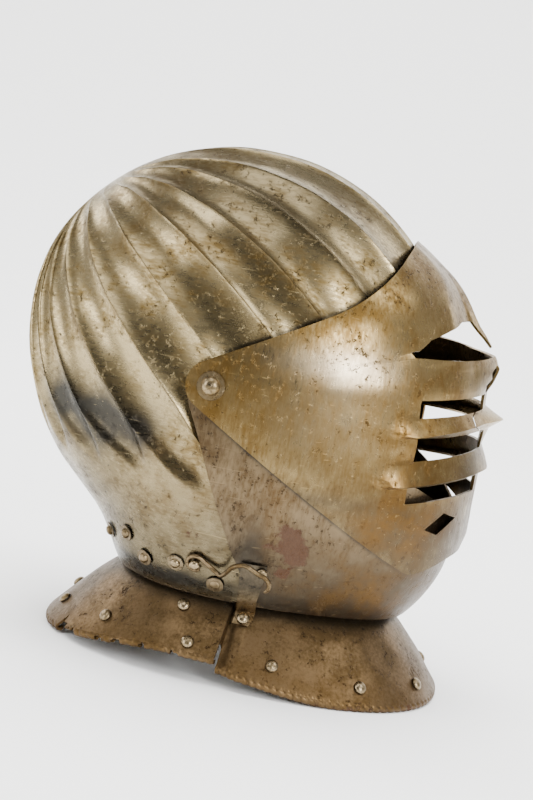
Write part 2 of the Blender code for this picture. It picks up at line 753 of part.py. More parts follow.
def make_pivots(axis, material):
    """Each pivot: a pin through skull, bevor and visor, a washer and a domed head in one piece."""
    outside = SKULL_HALF_WIDTH + 2 * LAYER
    for name, side in (("pivot_right", -1), ("pivot_left", 1)):
        washer = outside + SEAT
        rings = [
            (PIVOT_PIN_RADIUS, SKULL_HALF_WIDTH - WALL - 0.003),
            (PIVOT_PIN_RADIUS, washer),
            (PIVOT_WASHER_RADIUS, washer),
            (PIVOT_WASHER_RADIUS - 0.0003, washer + PIVOT_WASHER_THICKNESS),
            (PIVOT_DOME_RADIUS, washer + PIVOT_WASHER_THICKNESS),
        ]
        for turn in (pi / 7, 2 * pi / 7, 3 * pi / 7):
            up = PIVOT_WASHER_THICKNESS + PIVOT_DOME_HEIGHT * sin(turn)
            rings.append((PIVOT_DOME_RADIUS * cos(turn), washer + up))
        turned_piece(name, rings, side, material, axis)


def turned_piece(name, rings, side, material, axis, sides=16):
    """A piece turned round the pivots' line from (radius, distance from the middle) pairs."""
    points, faces = [], []
    for radius, out in rings:
        for k in range(sides):
            turn = 2 * pi * k / sides
            points.append((side * out, PIVOT_BACK + radius * cos(turn), PIVOT_HEIGHT + radius * sin(turn)))
    for i in range(len(rings) - 1):
        for k in range(sides):
            a, b = i * sides + k, i * sides + (k + 1) % sides
            faces.append((a, b, b + sides, a + sides))
    faces.append(tuple(range(sides))[::-1])
    faces.append(tuple((len(rings) - 1) * sides + k for k in range(sides)))
    if side < 0:
        faces = [face[::-1] for face in faces]
    thing = new_object(name, points, faces, material, (0.0, PIVOT_BACK, PIVOT_HEIGHT), axis)
    thing.data.shade_smooth()
    thing.data.set_sharp_from_angle(angle=radians(50))
    return thing


def make_rivets(skull_axis, bevor_axis, material):
    for side, mark in ((1, "right"), (-1, "left")):
        for number, (forward, drop, height) in enumerate(NECK_RIVETS, 1):
            place, normal = form_place(forward * NAPE_REACH, -drop, 0, mark == "right")
            name = f"neck_rivet_{mark}_{number}"
            dome_on_washer(name, place, normal, height, material, skull_axis)
        for number, (turn, share) in enumerate(REAR_RIVETS, 1):
            place, normal = gorget_place(side * turn, share)
            name = f"rear_rivet_{mark}_{number}"
            dome(name, place + normal * SEAT, normal, RIVET_RADIUS, RIVET_HEIGHT, material, skull_axis)
        for number, (turn, share) in enumerate(FRONT_RIVETS, 1):
            place, normal = gorget_place(side * turn, share)
            on_strap = mark == "right" and number == len(FRONT_RIVETS)
            seat = place + normal * (4 * SEAT + STRAP_THICKNESS if on_strap else SEAT)
            name = f"front_rivet_{mark}_{number}"
            dome(name, seat, normal, RIVET_RADIUS, RIVET_HEIGHT, material, bevor_axis)


def dome_on_washer(name, place, normal, height, material, axis):
    """A small domed rivet and the thin washer under it, in one piece."""
    lifted = place + normal * (SEAT + 0.0004 + WASHER_THICKNESS)
    washer = (NECK_WASHER_RADIUS, WASHER_THICKNESS)
    return dome(name, lifted, normal, NECK_RIVET_RADIUS, height, material, axis, washer)


def make_strap(axis, material):
    """The narrow plate beside the seam, from under the bevor's stud down to the gorget's rivet."""
    rows = [(form_place(rear, z, 1), form_place(front, z, 1)) for rear, front, z in STRAP_ON_BEVOR]
    for rear, front, share in STRAP_ON_GORGET:
        rows.append((gorget_place(rear, share), gorget_place(front, share)))
    rise = SEAT + STRAP_THICKNESS
    points, faces = [], grid_faces(len(rows), 3)
    for (rear, rear_normal), (front, front_normal) in rows:
        rear, front = rear + rear_normal * rise, front + front_normal * rise
        middle = (rear + front) / 2 + (rear_normal + front_normal) * SEAT
        points += [rear, middle, front]
    strap = sheet("strap", points, faces, material, axis, (0.0, PIVOT_BACK - NECK_CENTRE, PIVOT_HEIGHT))
    strap.modifiers["wall"].thickness = STRAP_THICKNESS
    return strap


def stud(name, place, normal, lift, material, axis):
    """A headed stud: a thin neck that starts just off its plate, and a low dome on top."""
    head = place + normal * (SEAT + lift)
    return dome(name, head, normal, STUD_RADIUS, STUD_HEIGHT, material, axis, (STUD_PIN_RADIUS, lift))


def hook_route(place, normal):
    """Centre line of the hook: an eye round its stud, an S-bend and the crook over the catch."""
    ahead = Vector((0.0, -1.0, 0.0))
    ahead = (ahead - normal * ahead.dot(normal)).normalized()
    up = normal.cross(ahead)
    if up.z < 0:
        up = -up
    eye_turns = np.radians(np.arange(-50, -311, -26))
    flat = [(HOOK_EYE_RADIUS * cos(t), HOOK_EYE_RADIUS * sin(t)) for t in eye_turns]
    flat += [(along * CATCH_FORWARD, rise * CATCH_FORWARD) for along, rise in HOOK_BEND]
    for t in np.radians((88, 55, 22, -12, -45)):
        flat.append((CATCH_FORWARD + CROOK_RADIUS * cos(t), CATCH_RISE + 0.92 * CROOK_RADIUS * sin(t)))
    lift_low = HOOK_BAR_RADIUS + 2 * SEAT
    lift_high = LAYER + STRAP_THICKNESS + STUD_HEIGHT + HOOK_BAR_RADIUS + CROOK_CLEARANCE
    route = []
    for x, y in flat:
        share = float(smooth_step(np.array(x), 0.2 * CATCH_FORWARD, 0.75 * CATCH_FORWARD))
        route.append(place + ahead * x + up * y + normal * (lift_low + (lift_high - lift_low) * share))
    return route


def make_hook(axis, material, place, normal):
    curve = bpy.data.curves.new("hook", "CURVE")
    curve.dimensions = "3D"
    curve.bevel_depth = HOOK_BAR_RADIUS
    curve.bevel_resolution = 1
    curve.use_fill_caps = True
    curve.materials.append(material)
    route = hook_route(place, normal)
    line = curve.splines.new("POLY")
    line.points.add(len(route) - 1)
    for point, spot in zip(line.points, route):
        point.co = (*(spot - axis.location), 1.0)
    thing = bpy.data.objects.new("hook", curve)
    bpy.context.scene.collection.objects.link(thing)
    thing.location = axis.location
    bpy.context.view_layer.update()
    thing.parent = axis
    thing.matrix_parent_inverse = axis.matrix_world.inverted()
    return thing


def main():
    clear_scene()
    plate = steel("worn_steel", SKULL_COLOUR, 0.38)
    face_plate = steel("yellowed_steel", VISOR_COLOUR, 0.36)
    neck_plate = steel("browned_steel", GORGET_COLOUR, 0.5)
    rivet_metal = steel("rivet_steel", RIVET_COLOUR, 0.3)
    pivots = (0.0, PIVOT_BACK, PIVOT_HEIGHT)
    skull_axis = axis_empty("skull_seat", pivots)
    bevor_axis = axis_empty("bevor_axis", pivots)
    visor_axis = axis_empty("visor_axis", pivots)
    hook_place, hook_normal = form_place(HOOK_FORWARD, -HOOK_DROP, 0)
    hook_axis = axis_empty("hook_axis", hook_place)

    skull = make_skull(skull_axis, plate)
    visor = make_visor(visor_axis, face_plate)
    bevor = make_bevor(bevor_axis, plate)
    pin_hole((skull, bevor, visor), PIVOT_PIN_RADIUS + PIN_CLEARANCE)
    cut_lozenge_and_break(visor)
    make_front_gorget(bevor_axis, neck_plate)
    make_rear_gorget(skull_axis, neck_plate)
    make_pivots(skull_axis, rivet_metal)
    make_rivets(skull_axis, bevor_axis, rivet_metal)

    stud_lift = 2 * HOOK_BAR_RADIUS + PLATE_GAP
    stud("hook_stud", hook_place, hook_normal, stud_lift, rivet_metal, skull_axis)
    catch_place, catch_normal = form_place(BEVOR_STUD_FORWARD, -BEVOR_STUD_DROP, 1)
    on_strap = catch_place + catch_normal * (SEAT + STRAP_THICKNESS)
    stud("bevor_stud", on_strap, catch_normal, 2 * SEAT, rivet_metal, bevor_axis)
    make_strap(bevor_axis, neck_plate)
    make_hook(hook_axis, rivet_metal, hook_place, hook_normal)


main()
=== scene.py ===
"""The looks of a cuirassier's close helmet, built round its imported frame.

Each plate is one smooth surface. In side view it is given by an angle about the line through the two
pivots and a reach, the distance at which the surface meets the middle plane. Nearer than that, the
surface stands off the middle plane by the half width times (1 - (distance / reach) ^ n) ^ (1 / n),
with n = 2.2. Flutes, bars and the nasal ridge are small changes to that distance.
Metres, +Z up, the face looks along -Y, the wearer's right side is -X.
"""

# %% [markdown]
# # Cuirassier's close helmet
# The real helmet is a few plates of hammered steel: a fluted skull, a visor, a bevor for the chin and
# two flared neck plates, with rivets, two pivots and a small hook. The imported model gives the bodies,
# the joints and the exact places. It could be painted as it is, but its facets would show, so each
# piece is made again here as a smooth, worn plate that takes its node's place.

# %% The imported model
from math import cos, pi, radians, sin

import bpy
import numpy as np
from mathutils import Matrix, Vector


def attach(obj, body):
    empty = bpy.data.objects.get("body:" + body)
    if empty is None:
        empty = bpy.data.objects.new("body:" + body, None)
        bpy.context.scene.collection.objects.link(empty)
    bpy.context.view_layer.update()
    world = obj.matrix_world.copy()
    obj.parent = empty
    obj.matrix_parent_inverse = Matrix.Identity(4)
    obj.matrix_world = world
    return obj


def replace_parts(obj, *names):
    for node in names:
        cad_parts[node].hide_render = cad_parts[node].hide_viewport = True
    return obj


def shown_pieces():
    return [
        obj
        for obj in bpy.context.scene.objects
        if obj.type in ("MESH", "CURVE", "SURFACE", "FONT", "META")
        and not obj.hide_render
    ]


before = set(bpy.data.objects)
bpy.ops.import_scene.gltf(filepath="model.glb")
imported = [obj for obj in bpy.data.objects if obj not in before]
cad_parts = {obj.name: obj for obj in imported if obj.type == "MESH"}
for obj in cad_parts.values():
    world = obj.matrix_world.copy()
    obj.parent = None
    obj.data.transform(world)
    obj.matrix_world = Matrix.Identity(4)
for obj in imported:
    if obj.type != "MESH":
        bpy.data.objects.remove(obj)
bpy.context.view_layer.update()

# %% [markdown]
# ## Named sizes
# An armourer draws a helmet from the side first. Each plate's outline here is a reach from the pivots
# at each angle, so the plates that turn about the pivots stay one inside the other. A curve through
# measured points would do too, but shares of a few named reaches move together when a size changes.
# The sizes are the CAD source's, so every plate lands on its CAD solid.

# %% Sizes in metres and angles in degrees
WALL = 0.0016
LAYER = 0.0028  # from one plate's outer face to the next one's: a wall and the gap of the lap
SEAT = 0.0003  # the gap under a rivet's washer
PIVOT_HEIGHT = 0.172
PIVOT_BACK = 0.0220
HALF_WIDTH = 0.099
ROUNDNESS = 2.2
SKULL_REACH = 0.1300
CHIN_REACH = 0.1760
NAPE_REACH = 0.1135
BROW_REACH = 0.1316
NASAL_REACH = 0.1525
PROW_REACH = 0.1592
LIP_REACH = 0.1762
LUG_RADIUS = 0.0145
NECK_DROP = 0.125
NECK_CENTRE = 0.0425
ROLL_RADIUS = 0.0028
SEAM_ANGLE = 97.0
STRAP_THICKNESS = 0.0010
TOP_SLOPE, BACK_SLOPE = -22.0, -67.0  # the bevor's upper and rear edges
MM = 1000.0  # millimetres in a metre
ROUNDS = 40  # halvings of a search for an edge, far finer than any mesh

# %% Side views of the skull, the chin and the visor
SKULL_PROFILE = (
    # angle, share, of
    (-75, 1.000, CHIN_REACH),
    (-35, 1.000, CHIN_REACH),
    (0, 0.860, CHIN_REACH),
    (30, 1.000, SKULL_REACH),
    (60, 1.005, SKULL_REACH),
    (90, 1.000, SKULL_REACH),
    (120, 1.004, SKULL_REACH),
    (155, 0.998, SKULL_REACH),
    (168, 0.976, SKULL_REACH),
    (182, 0.943, SKULL_REACH),
    (198, 1.040, NAPE_REACH),
    (216, 1.018, NAPE_REACH),
    (229, 1.000, NAPE_REACH),
    (242, 1.030, NAPE_REACH),
    (250, 1.165, NAPE_REACH),
    (260, 1.320, NAPE_REACH),
    (270, 1.450, NAPE_REACH),
    (285, 1.000, CHIN_REACH),
)
CHIN_PROFILE = (
    # angle, share, of
    (-90, 0.970, CHIN_REACH),
    (-75, 1.005, CHIN_REACH),
    (-44, 1.034, CHIN_REACH),
    (-39, 1.024, CHIN_REACH),
    (-34, 1.008, CHIN_REACH),
    (-30, 0.991, CHIN_REACH),
    (-27, 0.962, LIP_REACH),
    (-24, 0.918, LIP_REACH),
    (-20, 0.878, LIP_REACH),
)
VISOR_PROFILE = (
    # angle, share, of
    (-36, 1.050, LIP_REACH),
    (-30, 1.025, LIP_REACH),
    (-27, 0.992, LIP_REACH),
    (-24, 0.964, LIP_REACH),
    (-20, 0.940, LIP_REACH),
    (-15, 1.002, PROW_REACH),
    (-6, 0.982, PROW_REACH),
    (4, 0.944, PROW_REACH),
    (13, 0.975, PROW_REACH),
    (17, 0.945, NASAL_REACH),
    (24, 0.942, NASAL_REACH),
    (30, 1.085, BROW_REACH),
    (36, 1.065, BROW_REACH),
    (41, 1.035, BROW_REACH),
    (46, 0.995, BROW_REACH),
    (56, 0.985, BROW_REACH),
)

# %% [markdown]
# ## Curves, grids and plates
# Plate armour is beaten from flat sheet, so a plate is one surface with a thin, even wall. Here the
# surface is a grid of points that numpy works out whole, and Solidify gives it the wall. Sculpting
# could give the same skin, but a formula keeps the gaps of 1.2 mm between plates that slide.


# %% Curves of numbers
def smooth_step(value, low, high):
    """0 below low and 1 above high. Between, with s the share of the way, 3 s^2 - 2 s^3."""
    share = np.clip((value - low) / (high - low), 0.0, 1.0)
    return share * share * (3.0 - 2.0 * share)


def reach_of(profile, angle):
    """A side view's reach at an angle: the mean of five readings round it, which rounds corners."""
    angles = np.array([row[0] for row in profile], float)
    reaches = np.array([row[1] * row[2] for row in profile])
    shifts = (-5.0, -2.5, 0.0, 2.5, 5.0)
    return sum(np.interp(angle + shift, angles, reaches) for shift in shifts) / len(shifts)


def skull_reach(angle):
    """The skull's reach at any angle, counted up from -75 degrees."""
    return reach_of(SKULL_PROFILE, np.where(angle < -75.0, angle + 360.0, angle))


def half_breadth(distance, reach, half_width):
    """Half width times (1 - (distance / reach) ^ n) ^ (1 / n)."""
    share = np.clip(distance / reach, 0.0, 1.0)
    return half_width * (1.0 - share**ROUNDNESS) ** (1.0 / ROUNDNESS)


def to_world(forward, breadth, rise):
    """Points given from the pivots' line, put in the helmet's frame."""
    return np.stack([breadth, PIVOT_BACK - forward, PIVOT_HEIGHT + rise], axis=-1)


def waves(a, b, pitch, seed):
    """Gentle unevenness, about -1 to 1: the sum of six crossed sine waves over a and b."""
    turns = np.random.default_rng(seed).uniform(0, 2 * pi, (6, 2))
    total = 0.0
    for k, (turn, phase) in enumerate(turns):
        wave = 2 * pi / pitch * (0.7 + 0.25 * k)
        total = total + np.sin(wave * (a * cos(turn) + b * sin(turn)) + phase)
    return total / 3.2


# %% Meshes from grids
def grid_faces(rows, columns, keep=None):
    """Faces of a grid of points, as an array of four corners each."""
    i, j = np.meshgrid(np.arange(rows - 1), np.arange(columns - 1), indexing="ij")
    if keep is not None:
        i, j = i[keep], j[keep]
    a = (i * columns + j).reshape(-1)
    return np.stack([a, a + 1, a + columns + 1, a + columns], axis=-1)


def new_piece(name, points, faces, material=None):
    """An object at the origin, with its place in its mesh."""
    mesh = bpy.data.meshes.new(name)
    mesh.from_pydata(np.asarray(points).reshape(-1, 3).tolist(), [], [list(map(int, face)) for face in faces])
    if material:
        mesh.materials.append(material)
    piece = bpy.data.objects.new(name, mesh)
    bpy.context.scene.collection.objects.link(piece)
    return piece


def points_of(piece):
    """A piece's vertices as an array of three columns."""
    flat = np.empty(len(piece.data.vertices) * 3)
    piece.data.vertices.foreach_get("co", flat)
    return flat.reshape(-1, 3)


def settle(piece, sharp=32.0):
    """Applies the modifiers, then shades the result smooth except across sharp edges."""
    graph = bpy.context.evaluated_depsgraph_get()
    done = bpy.data.meshes.new_from_object(piece.evaluated_get(graph))
    piece.modifiers.clear()
    piece.data = done
    done.shade_smooth()
    done.set_sharp_from_angle(angle=radians(sharp))
    return piece


def mirrored(points, faces):
    """The right half and its mirror image."""
    points = points.reshape(-1, 3)
    other = points * (-1.0, 1.0, 1.0)
    return np.vstack([points, other]), np.vstack([faces, faces[:, ::-1] + len(points)])


WELD_GAP = 0.00003  # joins the halves along the middle and drops what collapsed to a line


def add_wall(piece, thickness=WALL):
    """The wall lies inwards from the outer face."""
    wall = piece.modifiers.new("wall", "SOLIDIFY")
    wall.thickness = thickness
    wall.offset = -1.0


# %% A plate with its wall and its cuts
def plate(name, points, faces, material, centre, thickness=WALL, cutters=(), sharp=32.0):
    """A plate of steel: its outer face, turned away from a centre and given a wall inwards."""
    corners = points.reshape(-1, 3)[faces]
    normals = np.cross(corners[:, 2] - corners[:, 0], corners[:, 3] - corners[:, 1])
    facing = np.einsum("ij,ij->", normals, corners.mean(axis=1) - np.asarray(centre))
    piece = new_piece(name, points, faces if facing > 0 else faces[:, ::-1], material)
    join = piece.modifiers.new("join", "WELD")
    join.merge_threshold = WELD_GAP
    add_wall(piece, thickness)
    for cutter in cutters:
        cut = piece.modifiers.new(cutter.name, "BOOLEAN")
        cut.operation = "DIFFERENCE"
        cut.solver = "FAST" if cutter.name == "prow_crack" else "EXACT"
        cut.object = cutter
    settle(piece, sharp)
    for cutter in cutters:
        bpy.data.objects.remove(cutter)
    return piece


def prism(name, outline, right, left):
    """A cutter: a side-view outline, forward and up from the pivots, between two breadths."""
    outline = np.array(outline)
    count = len(outline)
    near = to_world(outline[:, 0], np.full(count, right), outline[:, 1])
    far = to_world(outline[:, 0], np.full(count, left), outline[:, 1])
    k = np.arange(count)
    sides = np.stack([k, (k + 1) % count, count + (k + 1) % count, count + k], axis=-1).tolist()
    faces = sides + [k[::-1], count + k]
    forward, rise = outline.T
    area = np.sum(forward * np.roll(rise, -1) - rise * np.roll(forward, -1))
    if area > 0:
        faces = [face[::-1] for face in faces]
    return new_piece(name, np.vstack([near, far]), faces)


# %% [markdown]
# ## Where dirt, wear, rust and painted light lie
# Dirt gathers in laps and hollows, rust starts where water stood, and hands rub the high places.
# Here the same numbers also paint light: a painted shadow along the laps, painted shade low down,
# a painted dark reflection in the skull's hollows and a painted highlight on the visor. A painted
# picture would need the surface laid out flat, so each vertex carries plain numbers instead,
# worked out from its place, and the steel reads them by name.


# %% Numbers on the vertices
def paint(piece, **numbers):
    """Numbers from 0 to 1 at each vertex, under the names that the steel reads."""
    for name, value in numbers.items():
        layer = piece.data.attributes.new(name, "FLOAT", "POINT")
        amount = np.clip(value * np.ones(len(piece.data.vertices)), 0.0, 1.0)
        layer.data.foreach_set("value", amount.astype(np.float32))


def blots(piece, marks, both_sides=False):
    """The sum of strength times e ^ -(distance from a mark in its own radii)^2, in millimetres."""
    points = points_of(piece) * MM
    forward, rise = PIVOT_BACK * MM - points[:, 1], points[:, 2] - PIVOT_HEIGHT * MM
    total = np.zeros(len(points))
    for at_forward, at_rise, size_forward, size_rise, strength in marks:
        away = ((forward - at_forward) / size_forward) ** 2 + ((rise - at_rise) / size_rise) ** 2
        total += strength * np.exp(-away)
    return total if both_sides else np.where(points[:, 0] < 0, total, 0.0)


def low_down(piece, low, high):
    """1 below a height, 0 above another, smooth between."""
    return 1.0 - smooth_step(points_of(piece)[:, 2], low, high)


# %% Edges of the visor and the bevor, where a painted shadow runs along the laps
def edge_angle(distance):
    """30 degrees and the angle of a line that touches the lug's circle: a straight edge."""
    return 30.0 + np.degrees(np.arcsin(np.clip(LUG_RADIUS / distance, 0.0, 1.0)))


def visor_top(distance):
    """The straight edge, lifted over the brow by 8.6 degrees times the square of the way there."""
    return edge_angle(distance) + 8.6 * np.clip((distance - 0.070) / 0.061, 0.0, 1.2) ** 2


def visor_bottom(distance):
    """The straight edge, turned up by 8 degrees at the prow."""
    return -edge_angle(distance) + 8.0 * smooth_step(distance, 0.155, 0.176)


def bevor_rear(distance):
    """The bevor's rear edge, straight from the lug to the neck."""
    share = np.clip(1.0 - distance / 0.135, 0.0, 1.0)
    return BACK_SLOPE - np.degrees(np.arcsin(np.clip(LUG_RADIUS / distance, 0.0, 1.0))) * share**0.5


def painted_lap_shadow(piece, edge_angle_at, width=0.0016):
    """Painted shadow along an edge that lies on this plate, whose angle is given at a distance."""
    points = points_of(piece)
    forward, rise = PIVOT_BACK - points[:, 1], points[:, 2] - PIVOT_HEIGHT
    distance = np.maximum(np.hypot(forward, rise), LUG_RADIUS)
    away = distance * (np.arctan2(rise, forward) - np.radians(edge_angle_at(distance)))
    return np.exp(-((away / width) ** 2)) * smooth_step(distance, LUG_RADIUS, 1.4 * LUG_RADIUS)


# %% [markdown]
# ## Steel
# The real metal is iron and low-carbon steel, hammered, ground and polished, then left for centuries.
# The eye gets soft, stretched reflections from the hammering, a warm yellow-brown film over grey
# metal, black pits, bright rubbed places and dull orange rust. Photographs of old steel could be
# wrapped round it, but noises at real sizes fit any shape and stay sharp. Every layer is one share
# between two colours, laid over the last.


# %% Colours and nodes
def linear(hex_colour):
    """An sRGB colour such as #b8a98a, as the linear numbers that Blender takes."""
    parts = [int(hex_colour[k : k + 2], 16) / 255 for k in (1, 3, 5)]
    return (*[v / 12.92 if v <= 0.04045 else ((v + 0.055) / 1.055) ** 2.4 for v in parts], 1.0)


def add(tree, kind, settings, inputs, output=0):
    """Adds a node: its own settings, then inputs by a socket's name or number. Gives one output."""
    node = tree.nodes.new("ShaderNode" + kind)
    for key, value in settings.items():
        setattr(node, key, value)
    for key, value in inputs.items():
        if isinstance(value, bpy.types.NodeSocket):
            tree.links.new(value, node.inputs[key])
        else:
            node.inputs[key].default_value = value
    return node.outputs[output]


TIMES, MINUS = {"operation": "MULTIPLY"}, {"operation": "SUBTRACT"}
TIMES_PLUS = {"operation": "MULTIPLY_ADD"}
SMOOTH = {"interpolation_type": "SMOOTHSTEP"}
BLEND = {"data_type": "RGBA"}

# %% Real sizes of the steel's marks
NOISES = {
    # name: (coordinates, size in millimetres, octaves, share that each octave keeps)
    "broad": ("place", 71.4, 3.0, 0.55),  # film thicker on one side than the other
    "clouds": ("place", 14.29, 6.0, 0.60),  # thumb-sized stains
    "fine": ("place", 3.333, 4.0, 0.70),  # groups of pits
    "speck": ("place", 1.0, 2.0, 0.60),  # single pits, drawn at 1 mm so that they show
    "hammer": ("place", 33.33, 2.0, 0.40),  # the hammer's face
    "strokes": ("brushed", 1000.0, 3.0, 0.65),
    "scratch": ("crossed", 1000.0, 1.0, 0.55),
}
STROKE_MM = 1.852  # grinding strokes, drawn coarser than real ones so that they show
SCRATCH_TURN = (0.7, 0.3, 0.5)
SCRATCH_MM = (1.429, 62.5, 1.429)  # width, length and depth of a scratch's noise
# Colours of rubbed metal with a painted highlight, of grime with painted shade, and of ochre with painted
# shade.
RUBBED_AND_HIGHLIGHT_TONE, GRIME_AND_SHADE, OCHRE_AND_SHADE = linear("#b9ab92"), linear("#3a3833"), linear("#674b24")
RUST_DARK, RUST_LIGHT = linear("#3a210c"), linear("#533415")


def per_metre(size_mm):
    """How many marks of a size in millimetres fit in a metre: 1000 / size."""
    return round(MM / size_mm)


# %% The steel
def aged_steel(name, colours, film_share, roughness, pits, grain=(1.0, 1.0, 1.0)):
    """Bare metal with film, pits, grime and painted shade, ochre and painted shade, rust and
    scratches laid over it in that order; under them lie rubbed metal and a painted highlight.
    """
    bright, film, deep = (linear(colour) for colour in colours)
    material = bpy.data.materials.new(name)
    material.use_nodes = True
    tree = material.node_tree
    shader = tree.nodes["Principled BSDF"]
    place = add(tree, "TexCoord", {}, {}, "Object")
    stroke_scale = tuple(part * per_metre(STROKE_MM) for part in grain)
    scratch_scale = tuple(per_metre(size) for size in SCRATCH_MM)
    crossing = {"Vector": place, "Rotation": SCRATCH_TURN, "Scale": scratch_scale}
    spaces = {
        "place": place,
        "brushed": add(tree, "Mapping", {}, {"Vector": place, "Scale": stroke_scale}),
        "crossed": add(tree, "Mapping", {}, crossing),
    }
    noise = {}
    for key, (space, size, octaves, kept) in NOISES.items():
        inputs = {"Vector": spaces[space], "Scale": per_metre(size), "Detail": octaves, "Roughness": kept}
        noise[key] = add(tree, "TexNoise", {}, inputs)
    names = ("rubbed", "dark", "ochre", "rust")
    painted = {key: add(tree, "Attribute", {"attribute_name": key}, {}, "Fac") for key in names}

    # Shares: sums of noises, sharpened to edges by a smooth range.
    cover = pit = 0.0
    for key, weight in (("broad", 0.30), ("clouds", 0.40), ("strokes", 0.30)):
        cover = add(tree, "Math", TIMES_PLUS, {0: noise[key], 1: weight, 2: cover})
    for key, weight in (("fine", 0.7), ("clouds", 0.3)):
        pit = add(tree, "Math", TIMES_PLUS, {0: noise[key], 1: weight, 2: pit})
    rust = add(tree, "Math", MINUS, {0: painted["rust"], 1: 0.9})
    for key in ("fine", "clouds"):
        rust = add(tree, "Math", TIMES_PLUS, {0: noise[key], 1: 0.9, 2: rust})
    film_low = 0.56 - 0.22 * film_share
    cover = add(tree, "MapRange", SMOOTH, {0: cover, 1: film_low, 2: film_low + 0.20})
    pit = add(tree, "MapRange", SMOOTH, {0: pit, 1: 0.545 - pits, 2: 0.61 - pits})
    speck = add(tree, "MapRange", SMOOTH, {0: noise["speck"], 1: 0.40, 2: 0.56})
    rust = add(tree, "MapRange", SMOOTH, {0: rust, 1: 0.36, 2: 0.56})
    scratch = add(tree, "MapRange", SMOOTH, {0: noise["scratch"], 1: 0.70, 2: 0.76})
    shade = add(tree, "MapRange", SMOOTH, {0: noise["clouds"], 1: -0.30, 2: 0.55})
    stain_and_shade_mask = add(tree, "MapRange", SMOOTH, {0: noise["clouds"], 1: 0.20, 2: 0.70})
    covered = add(tree, "Math", MINUS, {0: 1.0, 1: painted["rubbed"]})
    cover = add(tree, "Math", TIMES, {0: cover, 1: covered})
    pit = add(tree, "Math", TIMES, {0: pit, 1: speck})

    # Colour: each layer over the last.
    # The rubbed numbers are rubbed metal and, on the visor, a painted highlight.
    colour = add(tree, "Mix", BLEND, {0: painted["rubbed"], 6: bright, 7: RUBBED_AND_HIGHLIGHT_TONE}, 2)
    rust_tone = add(tree, "Mix", BLEND, {0: noise["speck"], 6: RUST_DARK, 7: RUST_LIGHT}, 2)
    layers = (
        (cover, 1.0, film),
        (pit, 0.80, deep),
        # The dark numbers lay grime and painted shade, the ochre numbers ochre stains and painted shade.
        (shade, painted["dark"], GRIME_AND_SHADE),
        (stain_and_shade_mask, painted["ochre"], OCHRE_AND_SHADE),
        (rust, 1.0, rust_tone),
        (scratch, 0.35, bright),
    )
    for share, strength, tone in layers:
        amount = add(tree, "Math", TIMES, {0: share, 1: strength})
        colour = add(tree, "Mix", BLEND, {0: amount, 6: colour, 7: tone}, 2)
    tree.links.new(colour, shader.inputs["Base Color"])

    # Rust isn't metal, and film, strokes, pits and rust are rougher than what they cover.
    metal = add(tree, "Math", TIMES_PLUS, {0: rust, 1: -0.8, 2: 1.0})
    tree.links.new(metal, shader.inputs["Metallic"])
    rough = roughness - 0.13
    for part, weight in ((cover, 0.12), (noise["strokes"], 0.14), (pit, 0.22), (rust, 0.25)):
        rough = add(tree, "Math", TIMES_PLUS, {0: part, 1: weight, 2: rough})
    tree.links.new(rough, shader.inputs["Roughness"])

    # Relief: hammer marks of about 1 mm, then strokes, pits and scratches of up to 0.3 mm.
    depth = 0.0
    for part, weight in ((noise["strokes"], 0.35), (pit, -0.7), (rust, -0.7), (scratch, -0.3)):
        depth = add(tree, "Math", TIMES_PLUS, {0: part, 1: weight, 2: depth})
    hammered = add(tree, "Bump", {}, {"Strength": 0.45, "Distance": 0.0012, "Height": noise["hammer"]})
    fine_relief = {"Strength": 0.6, "Distance": 0.0003, "Height": depth, "Normal": hammered}
    tree.links.new(add(tree, "Bump", {}, fine_relief), shader.inputs["Normal"])
    return material


# %% Six finishes of it
STEELS = {
    # name: (bare metal, film, pits), film's share, roughness, more pits, grain along an axis
    "hammered_steel_grey_patina": (("#a0906c", "#6e5b36", "#2b2114"), 0.62, 0.33, -0.01, (1.0, 0.25, 1.0)),
    "hammered_steel_yellowed": (("#9a8357", "#6f562c", "#332311"), 0.75, 0.34, -0.01, (1.0, 1.0, 0.25)),
    "hammered_steel_scoured": (("#826f53", "#5c472b", "#322416"), 0.66, 0.40, 0.005, (1.0, 1.0, 0.25)),
    "rolled_edge_steel_browned": (("#6f5a3f", "#54432b", "#2b2016"), 0.85, 0.46, -0.005),
    "domed_rivet_steel_rubbed": (("#96866a", "#6e5c3c", "#3c2d1b"), 0.62, 0.34, 0.0),
    "forged_hook_steel_dark": (("#86755a", "#54462e", "#281e15"), 0.75, 0.36, 0.01),
}
finishes = [aged_steel(name, *recipe) for name, recipe in STEELS.items()]
skull_steel, visor_steel, bevor_steel, gorget_steel, rivet_steel, hook_steel = finishes
print("steels:", [material.name for material in finishes])

# %% [markdown]
# ## Skull
# The real skull was raised from one sheet, and its flutes were sunk over a stake: sharp ridges run
# forward and down from a pole behind the crown, and each hollow between two of them ends in a rounded
# scallop above the neck. The flutes could be cut out of a smooth bowl, but here the grid's own lines
# run along the ridges, so that every ridge is a clean crease of the mesh.

# %% Ridges round the pole, in degrees
POLE_ANGLE = 132.7
FLUTE_DEPTH = 0.0044
RIDGES = np.array([-8.0, 8.0, 23.0, 36.5, 51.0, 66.0, 85.0, 103.8, 120.5, 134.5, 146.5, 158.0, 169.5, 190.5])
RIDGE_DRIFT = ((0, 26.0), (12, 22.0), (20, 13.0), (30, 9.0), (45, 5.5), (60, 3.0), (75, 1.3), (90, 0.0))


def flute_turn(line, spread):
    """Angle about the pole of a line down the skull: the lines drift forward near the pole."""
    spreads, drifts = np.array(RIDGE_DRIFT, float).T
    fade = np.clip(line / 12.0, 0.0, 1.0) * np.clip((180.0 - line) / 70.0, 0.0, 1.0)
    return line + np.interp(spread, spreads, drifts) * fade


